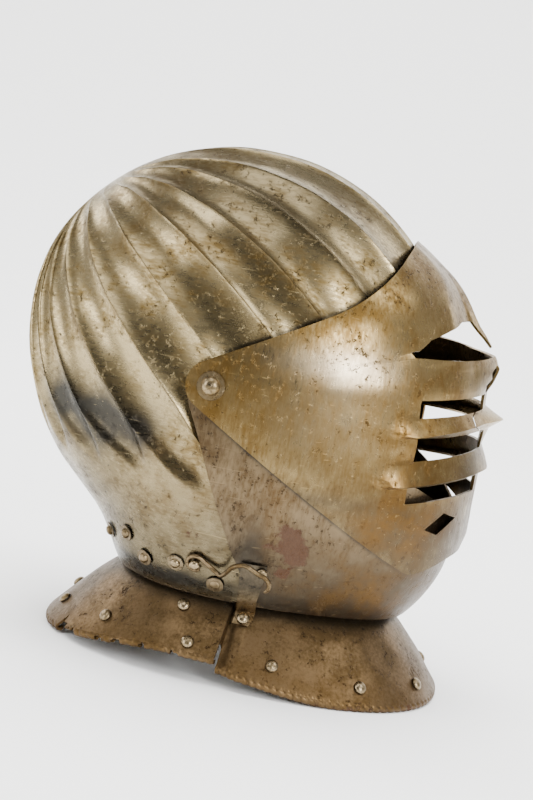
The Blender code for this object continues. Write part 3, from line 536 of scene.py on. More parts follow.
def flute_relief(line, spread, rise):
    """Depth of a flute: h = 4 s (1 - s) across it, mixed with h ^ 0.75, faded out at its scallop."""
    number = np.clip(np.searchsorted(RIDGES, line, side="right") - 1, 0, len(RIDGES) - 2)
    share = (line - RIDGES[number]) / (RIDGES[number + 1] - RIDGES[number])
    hollow = 4.0 * share * (1.0 - share)
    depth = FLUTE_DEPTH * (0.30 * hollow + 0.70 * np.abs(hollow) ** 0.75)
    scallop = -0.037 - 0.023 * hollow
    fade = smooth_step(rise, scallop - 0.003, scallop + 0.010)
    return depth * fade * smooth_step(spread, 3.0, 40.0)


# %% The surface round the pole, and where it ends
def skull_front_edge(rise):
    """How far forward the skull reaches at a height: straight lines between eight places."""
    heights = np.array([-1.0, -0.48, -0.08, 0.11, 0.19, 0.35, 0.50, 0.72]) * NECK_DROP
    edges = np.array([0.42, 0.25, 0.12, 0.12, 0.28, 0.52, 0.63, 0.76]) * NECK_DROP
    return np.interp(rise, heights, edges)


def skull_points(line, spread):
    """A direction from the pole by two angles, times the reach at which it meets the surface."""
    pole = radians(POLE_ANGLE)
    turn_r, spread_r = np.radians(flute_turn(line, spread)), np.radians(spread)
    along, out = np.cos(spread_r), np.sin(spread_r)
    forward = along * cos(pole) + out * np.cos(turn_r) * sin(pole)
    rise = along * sin(pole) - out * np.cos(turn_r) * cos(pole)
    side = -out * np.sin(turn_r)
    level = np.hypot(forward, rise)
    reach = skull_reach(np.degrees(np.arctan2(rise, forward)))
    size = (level / reach) ** ROUNDNESS + (np.abs(side) / HALF_WIDTH) ** ROUNDNESS
    reach = size ** (-1.0 / ROUNDNESS)
    uneven = 0.00022 * waves(line * 0.9, spread, 24.0, 4) * smooth_step(spread, 0.0, 20.0)
    reach = reach - flute_relief(line, spread, reach * rise) + uneven * np.clip(np.sin(turn_r) * 4, 0, 1)
    return reach * forward, reach * side, reach * rise


def skull_end(line):
    """How far from the pole a line runs, halved again and again between 40 and 172 degrees."""
    low, high = np.full_like(line, 40.0), np.full_like(line, 172.0)
    for _ in range(ROUNDS):
        middle = (low + high) / 2
        forward, _, rise = skull_points(line, middle)
        inside = (forward < skull_front_edge(rise)) & (rise > -NECK_DROP)
        low, high = np.where(inside, middle, low), np.where(inside, high, middle)
    return low


# %% The skull's grid: lines crowd towards each ridge, and 100 points run down each line
steps = (1.0 - np.cos(np.linspace(0.0, pi, 19))) / 2
line = np.concatenate([low + (high - low) * steps[:-1] for low, high in zip(RIDGES[:-1], RIDGES[1:])])
line = np.concatenate([[0.0], line[(line > 0.01) & (line < 179.99)], [180.0]])
share = np.linspace(0.0, 1.0, 100)[:, None] ** 0.92
lines, spreads = np.broadcast_arrays(line[None, :], share * skull_end(line)[None, :])
forward, side, rise = skull_points(lines, spreads)
side[:, 0] = side[:, -1] = 0.0
pivot_line = (0.0, PIVOT_BACK, PIVOT_HEIGHT)
skull_grid = mirrored(to_world(forward, side, rise), grid_faces(*forward.shape))
skull = plate("skull_plate", *skull_grid, skull_steel, pivot_line)

# %% Its painted dark reflection in the low hollows, painted shadow along the laps, painted shade below
SKULL_SHADE_AND_DIRT = (
    # forward, rise and two radii in millimetres from the pivots, strength
    (0, 104, 80, 26, 0.40),
    # a painted dark reflection in the three hollows above the neck
    (-62, -36, 14, 17, 0.95),
    (-88, -30, 13, 17, 0.90),
    (-36, -36, 11, 13, 0.85),
    (-15, -118, 60, 6, 0.50),
    (20, -40, 9, 40, 0.20),
    # painted shade
    (-56, -31, 26, 18, 0.35),
)
# Painted shadow along the edges of the visor and the bevor, and painted shade over the lower skull.
lap_shadows = 0.8 * painted_lap_shadow(skull, visor_top) + 0.7 * painted_lap_shadow(skull, bevor_rear)
dirt_and_shade = blots(skull, SKULL_SHADE_AND_DIRT, both_sides=True) + lap_shadows + 0.60 * low_down(skull, 0.075, 0.170)
stains_and_shade = blots(skull, ((0, -60, 40, 30, 0.3), (-30, 80, 60, 30, 0.15)), both_sides=True)
spots = blots(skull, ((5, -88, 10, 6, 0.35), (-30, -70, 12, 8, 0.25)))
paint(skull, rust=spots, dark=dirt_and_shade, ochre=stains_and_shade)
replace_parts(skull, "skull")
print("skull faces", len(skull.data.polygons))

# %% [markdown]
# ## Visor
# The visor is one plate from the brow to the lip, drawn out to a sharp prow, with a sight above three
# cut slots a side and the metal between them pushed out into bars. Slots could be cut with booleans,
# but their edges follow the bars, so the grid's lines are the real edges: a bar is a line that stands
# proud between its neighbours, and a slot is cells left out.

# %% Named lines across the visor
SLOT_REAR = 0.1135
VISOR_LINES = (
    # name, rear height, front height, proud, more at the prow, prow's half width
    ("brow", 0.0720, 0.0850, 0.0000, 0.0000, 0.008),
    ("brow_low", 0.0560, 0.0720, 0.0000, 0.0025, 0.008),
    ("sight_top", 0.0385, 0.0560, 0.0000, 0.0068, 0.010),
    ("sight_low", 0.0350, 0.0358, 0.0012, 0.0060, 0.034),
    ("ledge", 0.0300, 0.0290, 0.0000, 0.0080, 0.036),
    ("slot_1_top", 0.0116, 0.0160, 0.0000, 0.0010, 0.040),
    ("slot_1_low", 0.0012, 0.0070, 0.0000, 0.0010, 0.030),
    ("bar_1", -0.0085, 0.0014, 0.0050, 0.0075, 0.026),
    ("slot_2_top", -0.0107, -0.0050, 0.0000, 0.0040, 0.026),
    ("slot_2_low", -0.0249, -0.0153, 0.0000, 0.0000, 0.026),
    ("bar_2", -0.0375, -0.0270, 0.0045, 0.0020, 0.024),
    ("slot_3_top", -0.0409, -0.0316, 0.0000, 0.0020, 0.026),
    ("slot_3_low", -0.0508, -0.0412, 0.0000, 0.0022, 0.027),
    ("lozenge", -0.0630, -0.0590, 0.0000, 0.0024, 0.028),
    ("lip", -0.0662, -0.0695, 0.0000, 0.0022, 0.030),
)
SIGHT_ARCH = (
    # the sight's upper edge: half breadth, height above the pivots
    (0.0000, 0.0405),
    (0.0070, 0.0550),
    (0.0250, 0.0560),
    (0.0450, 0.0510),
    (0.0600, 0.0455),
    (0.0690, 0.0385),
)
SLOTS = (
    # upper line, rear end's distance from the pivots, front end's half width
    ("sight_top", 0.1120, 0.0),
    ("slot_1_top", 0.1135, 0.016),
    ("slot_2_top", 0.1145, 0.016),
    ("slot_3_top", 0.1190, 0.016),
)
LINE_NAMES = ["top"] + [row[0] for row in VISOR_LINES] + ["bottom"]
VISOR_HALF_WIDTH = HALF_WIDTH + 2 * LAYER
# Shares of the way from pivot to prow, each cell then split six ways.
COARSE_SHARES = np.array(
    [0, 0.05, 0.11, 0.18, 0.26, 0.35, 0.44, 0.53, 0.63, 0.72, 0.79, 0.86, 0.93, 0.968, 1]
)
SPLIT = 6


# %% Where each line runs
def line_angle(name, distance, reach, breadth):
    """A line's angle: arcsine of its height over the distance, fanned evenly close to the lug."""
    if name == "top":
        return visor_top(distance)
    if name == "bottom":
        return visor_bottom(distance)
    _, rear, front, *_ = VISOR_LINES[LINE_NAMES.index(name) - 1]
    along = (distance - SLOT_REAR) / (reach - SLOT_REAR)
    height = np.where(along > 0, rear + (front - rear) * along, rear * distance / SLOT_REAR)
    if name == "sight_top":
        breadths, heights = np.array(SIGHT_ARCH).T
        height = np.where(breadth < breadths[-1], np.interp(breadth, breadths, heights), height)
    straight = np.degrees(np.arcsin(np.clip(height / distance, -0.95, 0.95)))
    at_rear = SLOT_REAR * np.ones_like(distance)
    corner = np.degrees(np.arcsin(rear / SLOT_REAR))
    part = (corner - visor_bottom(at_rear)) / (visor_top(at_rear) - visor_bottom(at_rear))
    near_lug = 1.0 - smooth_step(distance, 0.030, 0.085)
    fan = visor_bottom(distance) + (visor_top(distance) - visor_bottom(distance)) * part
    return straight * (1 - near_lug) + fan * near_lug


def visor_place(angle, shares):
    """Distance from the pivots, lug radius to reach by the sine of the share, and its breadth."""
    reach = reach_of(VISOR_PROFILE, angle)
    distance = LUG_RADIUS + (reach - LUG_RADIUS) * np.sin(shares * pi / 2)
    return reach, distance, half_breadth(distance, reach, VISOR_HALF_WIDTH)


def line_angles(shares):
    """Angle of every line at every share, found by repeating: it depends on its own distance."""
    angles = np.zeros((len(LINE_NAMES), len(shares)))
    for row, name in enumerate(LINE_NAMES):
        for _ in range(14):
            reach, distance, breadth = visor_place(angles[row], shares)
            angles[row] = line_angle(name, distance, reach, breadth)
    return angles


def between(rows, split):
    """Rows spread to split times as many, straight from each to the next."""
    old = np.arange(len(rows))
    new = np.linspace(0, len(rows) - 1, (len(rows) - 1) * split + 1)
    low = np.clip(new.astype(int), 0, len(rows) - 2)
    part = (new - old[low]).reshape(-1, *[1] * (rows.ndim - 1))
    return rows[low] * (1 - part) + rows[low + 1] * part


# %% The visor's grid, with its bars, its prow and the crease over the brow
CREASE_HEIGHTS = (0.040, 0.053, 0.063, 0.072, 0.080, 0.090)
CREASE_BREADTHS = (0.046, 0.042, 0.040, 0.035, 0.029, 0.023)
CREASE_HEIGHT, CREASE_WIDTH = 0.0013, 0.012
standing = [(0, 0, 0.01)] + [row[3:] for row in VISOR_LINES] + [(0, 0, 0.024)]
proud, prow, prow_width = np.array(standing).T
shares = between(COARSE_SHARES, SPLIT)
angle = between(line_angles(shares), SPLIT)
reach, distance, breadth = visor_place(angle, shares[None, :])
share_out = smooth_step(distance, SLOT_REAR - 0.012, SLOT_REAR + 0.006)
middle = np.clip(1.0 - breadth / between(prow_width, SPLIT)[:, None], 0.0, 1.0)
stand = between(proud, SPLIT)[:, None] * share_out
out = distance + stand + between(prow, SPLIT)[:, None] * middle
height = distance * np.sin(np.radians(angle))
crease = np.interp(height, CREASE_HEIGHTS, CREASE_BREADTHS)
near_crease = np.clip(1.0 - np.abs(breadth - crease) / CREASE_WIDTH, 0.0, 1.0)
out = out + CREASE_HEIGHT * near_crease * smooth_step(height, 0.036, 0.044)
beaten = 0.00025 * waves(distance * MM, angle, 46.0, 9) * smooth_step(distance, 0.03, 0.06)
out = out + beaten * (breadth > 0.004)
forward, rise = out * np.cos(np.radians(angle)), out * np.sin(np.radians(angle))
side = -(breadth + 0.5 * stand * (breadth > 0))
side[:, -1] = 0.0
lug_turn = np.radians(np.linspace(120.0, 240.0, angle.shape[0]))
lug_side = -half_breadth(LUG_RADIUS, reach[:, 0], VISOR_HALF_WIDTH)
forward = np.column_stack([LUG_RADIUS * np.cos(lug_turn), forward])
rise = np.column_stack([LUG_RADIUS * np.sin(lug_turn), rise])
side = np.column_stack([lug_side, side])

# %% Slots: cells left out between two lines, from their rear end to the prow's post
keep = np.ones((forward.shape[0] - 1, forward.shape[1] - 1), bool)
coarse_side = np.abs(side[::SPLIT, 1::SPLIT])
coarse_distance = distance[::SPLIT, ::SPLIT]
for name, rear, half_width in SLOTS:
    row = LINE_NAMES.index(name)
    behind_post = coarse_side[row, 1:] >= half_width - 0.004
    open_cells = (coarse_distance[row, :-1] >= rear - 0.004) & behind_post
    columns = 1 + np.flatnonzero(np.repeat(open_cells, SPLIT))
    keep[row * SPLIT : (row + 1) * SPLIT, columns] = False

# %% The hole, the break and the crack, cut in the finished plate
LOZENGE = ((0.1418, -0.0527), (0.1488, -0.0560), (0.1399, -0.0656), (0.1325, -0.0625))
NOSE_BREAK = (
    *((0.1512, 0.0165), (0.1535, 0.0178), (0.1560, 0.0160), (0.30, 0.0160), (0.30, 0.0330)),
    *((0.1545, 0.0325), (0.1526, 0.0290), (0.1533, 0.0250), (0.1508, 0.0215)),
)
CRACK = (
    *((0.1476, 0.0120), (0.1463, 0.0040), (0.1495, -0.0010), (0.1530, -0.0062), (0.1508, -0.0088)),
    *((0.1462, -0.0098), (0.1440, -0.0180), (0.1446, -0.0181), (0.1469, -0.0104), (0.1513, -0.0094)),
    *((0.1541, -0.0061), (0.1503, -0.0014), (0.1471, 0.0036), (0.1484, 0.0118)),
)
cutters = [
    prism("lozenge_hole", LOZENGE, -HALF_WIDTH, HALF_WIDTH),
    prism("prow_break", NOSE_BREAK, -0.03, -0.0006),
    prism("prow_crack", CRACK, -0.05, -0.0040),
]
visor_grid = mirrored(to_world(forward, side, rise), grid_faces(*forward.shape, keep))
visor = plate("visor_plate", *visor_grid, visor_steel, pivot_line, cutters=cutters)

# %% Its wear and painted light: rubbed over the cheek with a painted highlight, brown under the bars, painted shade lower down
VISOR_SHADE_AND_DIRT = (
    # forward, rise and two radii in millimetres from the pivots, strength
    (60, -52, 60, 5, 0.25),
    (150, 20, 8, 10, 0.60),
    (152, -20, 8, 18, 0.60),
    (125, -62, 40, 18, 0.35),
    (112, 80, 30, 22, 0.28),
)
VISOR_STAINS = ((120, -20, 24, 44, 0.65), (40, 5, 25, 14, 0.25), (115, -62, 40, 22, 0.7))
# The first patch is a painted highlight as well as rubbed metal.
VISOR_RUBBING_AND_HIGHLIGHT = ((73, 24, 26, 13, 0.85), (66, -8, 30, 22, 0.30), (36, 22, 18, 8, 0.3))
VISOR_RUST = ((118, -20, 9, 16, 0.28), (60, 30, 6, 5, 0.2), (146, -20, 5, 12, 0.30))
# The visor is darker lower down: painted shade.
dirt_and_shade = blots(visor, VISOR_SHADE_AND_DIRT, both_sides=True) + 0.75 * low_down(visor, 0.090, 0.165)
stains_and_shade, rubbing_and_highlight = blots(visor, VISOR_STAINS, both_sides=True), blots(visor, VISOR_RUBBING_AND_HIGHLIGHT, both_sides=True)
paint(visor, rust=blots(visor, VISOR_RUST), rubbed=rubbing_and_highlight, dark=dirt_and_shade, ochre=stains_and_shade)
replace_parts(visor, "visor")
print("visor faces", len(visor.data.polygons))

# %% [markdown]
# ## Bevor
# The bevor covers the chin and cheeks, turns on the same pivots and closes under the visor. It is the
# same surface one layer further in, so it needs no shape of its own: a fan of lines from the lug, cut
# by two straight edges and by the level of the neck. Each line leaves the lug's circle and bends by
# the angle of a line that touches it, which makes the two edges straight.

# %% The bevor's fan of lines
LOWEST_SINE = 0.3  # steeper than this, a line can end at the neck
BEVOR_HALF_WIDTH = HALF_WIDTH + LAYER
corner = -np.degrees(np.arcsin(NECK_DROP / reach_of(CHIN_PROFILE, -44.0)))
fan = [np.linspace(TOP_SLOPE, corner, 50), np.linspace(corner, BACK_SLOPE, 40)[1:]]
angle = np.concatenate(fan)[:, None]
shares = np.linspace(0.0, 1.0, 90)[None, :]
reach = reach_of(CHIN_PROFILE, angle)
end = np.minimum(reach, NECK_DROP / np.sin(np.radians(-angle)))
distance = LUG_RADIUS + (end - LUG_RADIUS) * np.sin(shares * pi / 2)
part = (angle - BACK_SLOPE) / (TOP_SLOPE - BACK_SLOPE)
swing = np.degrees(np.arcsin(LUG_RADIUS / distance)) * (2.0 * part - 1.0)
turned = np.radians(angle + swing * (1.0 - shares**2))
end = np.minimum(reach, NECK_DROP / np.maximum(np.sin(-turned), LOWEST_SINE))
distance = LUG_RADIUS + (end - LUG_RADIUS) * np.sin(shares * pi / 2)
breadth = half_breadth(distance, reach_of(CHIN_PROFILE, np.degrees(turned)), BEVOR_HALF_WIDTH)
uneven = 0.00025 * waves(distance * MM, angle * 2, 50.0, 12) * smooth_step(distance, 0.03, 0.06)
uneven = uneven * (breadth > 0.003)
rear_turn = np.radians(90.0 + TOP_SLOPE + (1.0 - part) * (180.0 + BACK_SLOPE - TOP_SLOPE))
lug_side = -half_breadth(LUG_RADIUS, reach, BEVOR_HALF_WIDTH)
forward = np.column_stack([LUG_RADIUS * np.cos(rear_turn), (distance - uneven) * np.cos(turned)])
rise = np.column_stack([LUG_RADIUS * np.sin(rear_turn), distance * np.sin(turned)])
side = np.column_stack([lug_side, -breadth])
bevor_grid = mirrored(to_world(forward, side, rise), grid_faces(*forward.shape))
bevor = plate("bevor_plate", *bevor_grid, bevor_steel, pivot_line)

# %% Its rust patch behind the hook, its brown and darker chin, which is painted shade, and its dirt
BEVOR_RUST = (
    # forward, rise and two radii in millimetres from the pivots, strength
    (61, -82, 8, 9, 0.85),
    (66, -90, 7, 7, 0.70),
    (58, -101, 5, 4, 0.70),
    (47, -86, 7, 3, 0.42),
    (56, -74, 9, 5, 0.42),
    (35, -60, 5, 9, 0.30),
)
BEVOR_SHADE_AND_DIRT = ((40, -95, 7, 30, 0.45), (45, -121, 60, 4, 0.5), (130, -112, 55, 26, 0.42))
# Darker lower down and on the chin as painted shade, with a painted shadow under the visor's edge.
dirt_and_shade = 0.34 + 0.45 * low_down(bevor, 0.060, 0.125) + blots(bevor, BEVOR_SHADE_AND_DIRT, both_sides=True)
dirt_and_shade = dirt_and_shade + 0.8 * painted_lap_shadow(bevor, visor_bottom)
# The large brown patch on the chin is painted shade.
stains_and_shade = blots(bevor, ((110, -110, 50, 30, 0.75), (45, -70, 12, 25, 0.3)), both_sides=True)
paint(bevor, rust=blots(bevor, BEVOR_RUST), dark=dirt_and_shade, ochre=stains_and_shade)
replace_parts(bevor, "bevor")
print("bevor faces", len(bevor.data.polygons))

# %% [markdown]
# ## Gorget plates
# Two flared plates keep a blade off the neck, one riveted to the bevor and one to the skull. Their
# edges are turned over a wire and filed into a rope, and the rear one is torn and chipped. A profile
# carried round the neck gives all of it: a collar inside the helmet, the flare, and the roll, whose
# radius goes up and down along the rim for the rope's strands.

# %% The neck, the rim and the flare between them
COLLAR_HEIGHT = 0.009
COLLAR_INSET = 0.0046
CHIN_STEP = 0.0030
GORGET_CURVE = 0.85
RIM_FRONT, RIM_BACK, RIM_HALF_WIDTH, RIM_ROUNDNESS = 0.1175, 0.1235, 0.094, 2.3
REAR_RIM_ARCH, FRONT_RIM_ARCH = 0.013, 0.007
UNDERLAP_ANGLE = 7.0
ROPE_TURNS = 132
ROLL_START, ROLL_END = 44.0, -176.0  # angles about the wire
ROLL_FLAT, ROLL_FLAT_SHARE = 25.0, 0.924  # the underside is flat, so that the helmet rests on it
ROLL_LEVEL = ROLL_RADIUS * sin(radians(67.5))
ROLL_TOP_ANGLE = radians(48.0)  # where the flare meets the roll


def neck_distance(turn, drop):
    """Distance from the neck's middle to the skull's outer face, by halving, at a height."""
    low, high = np.zeros_like(turn), np.full_like(turn, 0.2)
    for _ in range(ROUNDS):
        middle = (low + high) / 2
        forward, side = NECK_CENTRE + middle * np.cos(turn), middle * np.sin(turn)
        reach = skull_reach(np.degrees(np.arctan2(-drop, forward)))
        size = (np.hypot(forward, drop) / reach) ** ROUNDNESS + (np.abs(side) / HALF_WIDTH) ** ROUNDNESS
        low, high = np.where(size < 1.0, middle, low), np.where(size < 1.0, high, middle)
    return low


def rim_distance(turn):
    """The rim seen from above: ((cos / front or back)^n + (sin / half width)^n) ^ (-1 / n)."""
    end = np.where(np.cos(turn) > 0, RIM_FRONT, RIM_BACK)
    size = (np.abs(np.cos(turn)) / end) ** RIM_ROUNDNESS
    size = size + (np.abs(np.sin(turn)) / RIM_HALF_WIDTH) ** RIM_ROUNDNESS
    return size ** (-1 / RIM_ROUNDNESS)


def rim_height(turn):
    """The rim arches up to the seam from the front, and comes down again behind it."""
    away = np.degrees(pi - np.abs(np.mod(np.abs(turn), 2 * pi) - pi))
    before_seam = FRONT_RIM_ARCH * smooth_step(away, 52.0, SEAM_ANGLE)
    behind_seam = REAR_RIM_ARCH * (1.0 - smooth_step(away, 112.0, 168.0))
    return np.where(away < SEAM_ANGLE - 0.2, before_seam, behind_seam)


def collar_inset(turn):
    """How far the collar lies inside the skull's face, less in front, where the bevor covers it."""
    return COLLAR_INSET - CHIN_STEP * np.clip(np.cos(turn), 0.0, 1.0) ** 2


def gorget_point(turn, share):
    """Neck distance plus the way to the rim times share ^ 0.85, at a height that falls evenly."""
    neck = neck_distance(turn, NECK_DROP) - collar_inset(turn)
    rim = rim_distance(turn) - ROLL_RADIUS + ROLL_RADIUS * cos(ROLL_TOP_ANGLE)
    low = rim_height(turn) + ROLL_LEVEL + ROLL_RADIUS * sin(ROLL_TOP_ANGLE)
    top = PIVOT_HEIGHT - NECK_DROP - 0.002
    return neck + (rim - neck) * share**GORGET_CURVE, top + (low - top) * share


# %% One gorget plate
def make_gorget(name, turns, inset, keep_of, wear_of, ridge=None):
    """The plate's outer face: collar, flare, then the roll, round by (0.8 + 0.2 groove)."""
    turn = np.radians(turns)
    wear = wear_of(turns)
    rows = []
    for lift in (COLLAR_HEIGHT, COLLAR_HEIGHT * 0.66, COLLAR_HEIGHT * 0.33):
        collar = neck_distance(turn, NECK_DROP - lift) - collar_inset(turn) - inset
        rows.append((collar, PIVOT_HEIGHT - NECK_DROP + lift + 0 * turn, 0.0 * turn - lift))
    for share in np.linspace(0.0, 1.0, 22):
        distance, height = gorget_point(turn, share)
        uneven = 0.0004 * waves(turns * 1.2, share * 40, 34.0, 21) * sin(pi * share)
        if ridge is not None:
            uneven = uneven + ridge(turns, share)
        rows.append((distance - inset + uneven, height, share + 0 * turn))
    centre = rim_distance(turn) - ROLL_RADIUS - inset
    level = rim_height(turn) + ROLL_LEVEL
    for roll in np.linspace(ROLL_START, ROLL_END, 21):
        groove = np.abs(np.sin(turn * ROPE_TURNS / 2 + radians(roll) * 0.9)) ** 0.7
        radius = ROLL_RADIUS * (0.80 + 0.20 * groove) * wear
        if abs(roll + 90.0) < ROLL_FLAT:
            radius = np.minimum(radius, ROLL_RADIUS * ROLL_FLAT_SHARE / sin(radians(-roll)))
        along = 1.0 + (ROLL_START - roll) / (ROLL_START - ROLL_END) + 0 * turn
        rows.append((centre + radius * cos(radians(roll)), level + radius * sin(radians(roll)), along))
    distance, height, along = (np.array(column) for column in zip(*rows))
    forward, side = NECK_CENTRE + distance * np.cos(turn), distance * np.sin(turn)
    points = to_world(forward, side, height - PIVOT_HEIGHT)
    piece = new_piece(name, points, grid_faces(*distance.shape, keep_of(turns, along)), gorget_steel)
    first = piece.data.polygons[0]
    away = Vector(first.center) - Vector((0.0, PIVOT_BACK - NECK_CENTRE, first.center.z))
    if first.normal.dot(away) < 0:
        piece.data.flip_normals()
    add_wall(piece)
    settle(piece, 40.0)
    return piece


# %% What is left of the rims, and how worn they are
def front_keep(turns, along):
    """Past the seam only the upper 0.71 of the flare is left, which lies under the rear plate."""
    outside = (np.maximum(np.abs(turns[1:]), np.abs(turns[:-1])) > SEAM_ANGLE - 0.4)[None, :]
    return ~(outside & (along[:-1, :-1] > 0.71))


def rear_keep(turns, along):
    """The rear edge is torn: bites out of the near side's rim, and a split up into the plate."""
    middle = (turns[1:] + turns[:-1])[None, :] / 2
    rough = 1.0 + 0.10 * waves(middle * 3.0, 0.0, 5.0, 33)
    bites = (
        # turn and half width in degrees, how far along the profile the bite starts
        (153.5, 2.3, 0.90),
        (149.0, 2.6, 1.02),
        (137.5, 1.2, 1.05),
        (131.0, 1.6, 1.10),
        (122.0, 1.0, 1.12),
        (111.0, 1.6, 1.18),
        (160.0, 2.0, 1.30),
    )
    lost = np.zeros((len(along) - 1, middle.shape[1]), bool)
    for at, width, depth in bites:
        inside = 1.0 - ((middle - (360.0 - at)) / width) ** 2
        lost |= (inside > 0) & (along[:-1, :-1] > depth * rough + 0.10 * (1 - np.clip(inside, 0, 1)))
    return ~lost


def front_wear(turns):
    """The roll's radius, uneven by 2 parts in 100."""
    return 1.0 + 0.02 * waves(turns, 0.0, 14.0, 41)


def rear_wear(turns):
    """The roll is worn thinner round 222 degrees, on the side that the photograph shows."""
    near = np.exp(-(((turns - 222.0) / 34.0) ** 2))
    return 1.0 - 0.10 * near * (1.0 + waves(turns * 2.0, 0.0, 9.0, 43))


def lame_edge(turns, share):
    """The edge of the plate's narrow lame, a low step that climbs from the seam to the neck."""
    up = 0.30 - 0.23 * (96.0 - np.abs(turns)) / 26.0
    return 0.0006 * smooth_step(up - share, -0.012, 0.012) * smooth_step(np.abs(turns), 68.0, 71.0)


# %% Both plates
front_end = SEAM_ANGLE - 0.5
under = SEAM_ANGLE + np.linspace(0.5, UNDERLAP_ANGLE, 10)
front_turns = np.concatenate([-under[::-1], np.linspace(-front_end, front_end, 660), under])
front_inset = 1.9 * LAYER * smooth_step(np.abs(front_turns), SEAM_ANGLE - 9.0, front_end)
front = ("gorget_front_plate", front_turns, front_inset, front_keep, front_wear, lame_edge)
gorget_front = make_gorget(*front)
rear_turns = np.linspace(SEAM_ANGLE, 360.0 - SEAM_ANGLE, 560)
gorget_rear = make_gorget("gorget_rear_plate", rear_turns, 0.0, rear_keep, rear_wear)
for piece in (gorget_front, gorget_rear):
    spots = blots(piece, ((70, -150, 30, 8, 0.10), (-20, -140, 12, 6, 0.15)))
    dirt_and_shade = 0.55 * (1.0 - low_down(piece, 0.036, 0.046)) + 0.25 * low_down(piece, 0.0, 0.006)
    rust = 0.40 * low_down(piece, 0.0, 0.012) + spots
    paint(piece, rust=rust, dark=dirt_and_shade, ochre=0.35 * low_down(piece, 0.004, 0.03))
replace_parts(gorget_front, "gorget_front")
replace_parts(gorget_rear, "gorget_rear")
print("gorget faces", len(gorget_front.data.polygons), len(gorget_rear.data.polygons))

# %% [markdown]
# ## Rivets, pivots and studs
# Armour rivets are soft iron, hammered to a dome over a small washer. Spheres cut in half would be too
# perfect, so each head is turned from a short outline of radii and heights, a little out of round,
# and stands on the plate's surface along its normal, which comes from points a millimetre either side.


# %% Places on the plates
def form_place(forward, rise, layers, right=True):
    """A point and the outward direction on the form's outer face, so many layers out."""

    def point(f, r):
        reach = skull_reach(np.degrees(np.arctan2(r, f))) + layers * LAYER
        breadth = float(half_breadth(np.hypot(f, r), reach, HALF_WIDTH + layers * LAYER))
        return Vector(to_world(f, -breadth if right else breadth, r))

    step = 0.001
    here = point(forward, rise)
    along = point(forward + step, rise) - point(forward - step, rise)
    normal = along.cross(point(forward, rise + step) - point(forward, rise - step)).normalized()
    return here, normal if normal.x * here.x > 0 else -normal


def gorget_place(turn_degrees, share):
    """A point and the outward direction on a gorget plate, a share of the way down its flare."""

    def point(turn, part):
        turn = np.radians(np.array([turn]))
        distance, height = gorget_point(turn, part)
        forward = NECK_CENTRE + distance[0] * cos(turn[0])
        return Vector(to_world(forward, -distance[0] * sin(turn[0]), height[0] - PIVOT_HEIGHT))

    here = point(turn_degrees, share)
    along = point(turn_degrees + 1, share) - point(turn_degrees - 1, share)
    normal = along.cross(point(turn_degrees, share + 0.02) - point(turn_degrees, share - 0.02)).normalized()
    return here, normal if normal.z > 0 else -normal


# %% Turned heads
def tube_faces(rings, sides):
    """Four-sided faces from each ring of points to the next, and a cap at either end."""
    k = np.arange(sides)
    i = np.arange(rings - 1)[:, None] * sides
    quads = np.stack([i + k, i + (k + 1) % sides, i + sides + (k + 1) % sides, i + sides + k], axis=-1)
    return quads.reshape(-1, 4).tolist() + [k[::-1], (rings - 1) * sides + k]


def turned(name, place, normal, outline, material, sides=28, wobble=0.0, seed=0):
    """A head turned round a line: radius times (1 + wobble sin 2t + half of it sin 3t)."""
    normal = Vector(normal).normalized()
    across = normal.orthogonal().normalized()
    other = normal.cross(across)
    outline = np.array(outline)
    turn = np.linspace(0, 2 * pi, sides, endpoint=False)
    uneven = 1.0 + wobble * np.sin(2 * turn + seed) + 0.5 * wobble * np.sin(3 * turn + 2 * seed)
    spokes = np.outer(np.cos(turn) * uneven, across) + np.outer(np.sin(turn) * uneven, other)
    points = np.array(place) + outline[:, None, :1] * spokes + outline[:, None, 1:] * np.array(normal)
    piece = new_piece(name, points, tube_faces(len(outline), sides), material)
    piece.data.shade_smooth()
    piece.data.set_sharp_from_angle(angle=radians(40))
    height = (points_of(piece) - np.array(place)) @ np.array(normal)
    foot, ring = 1.0 - smooth_step(height, 0.0, 0.0011), 1.0 - smooth_step(height, 0.0, 0.0010)
    paint(piece, dark=0.9 * foot, rust=0.12 * ring)
    return piece


def dome_outline(radius, height, lip=0.0003):
    """A dome over a thin lip: radius times cos t ^ 0.9 out, and sin t up."""
    turn = np.linspace(0.0, pi / 2, 10)[:-1]
    rounded = [(radius * cos(t) ** 0.9, lip + (height - lip) * sin(t)) for t in turn]
    return [(radius * 0.97, 0.0)] + rounded + [(radius * 0.03, height)]


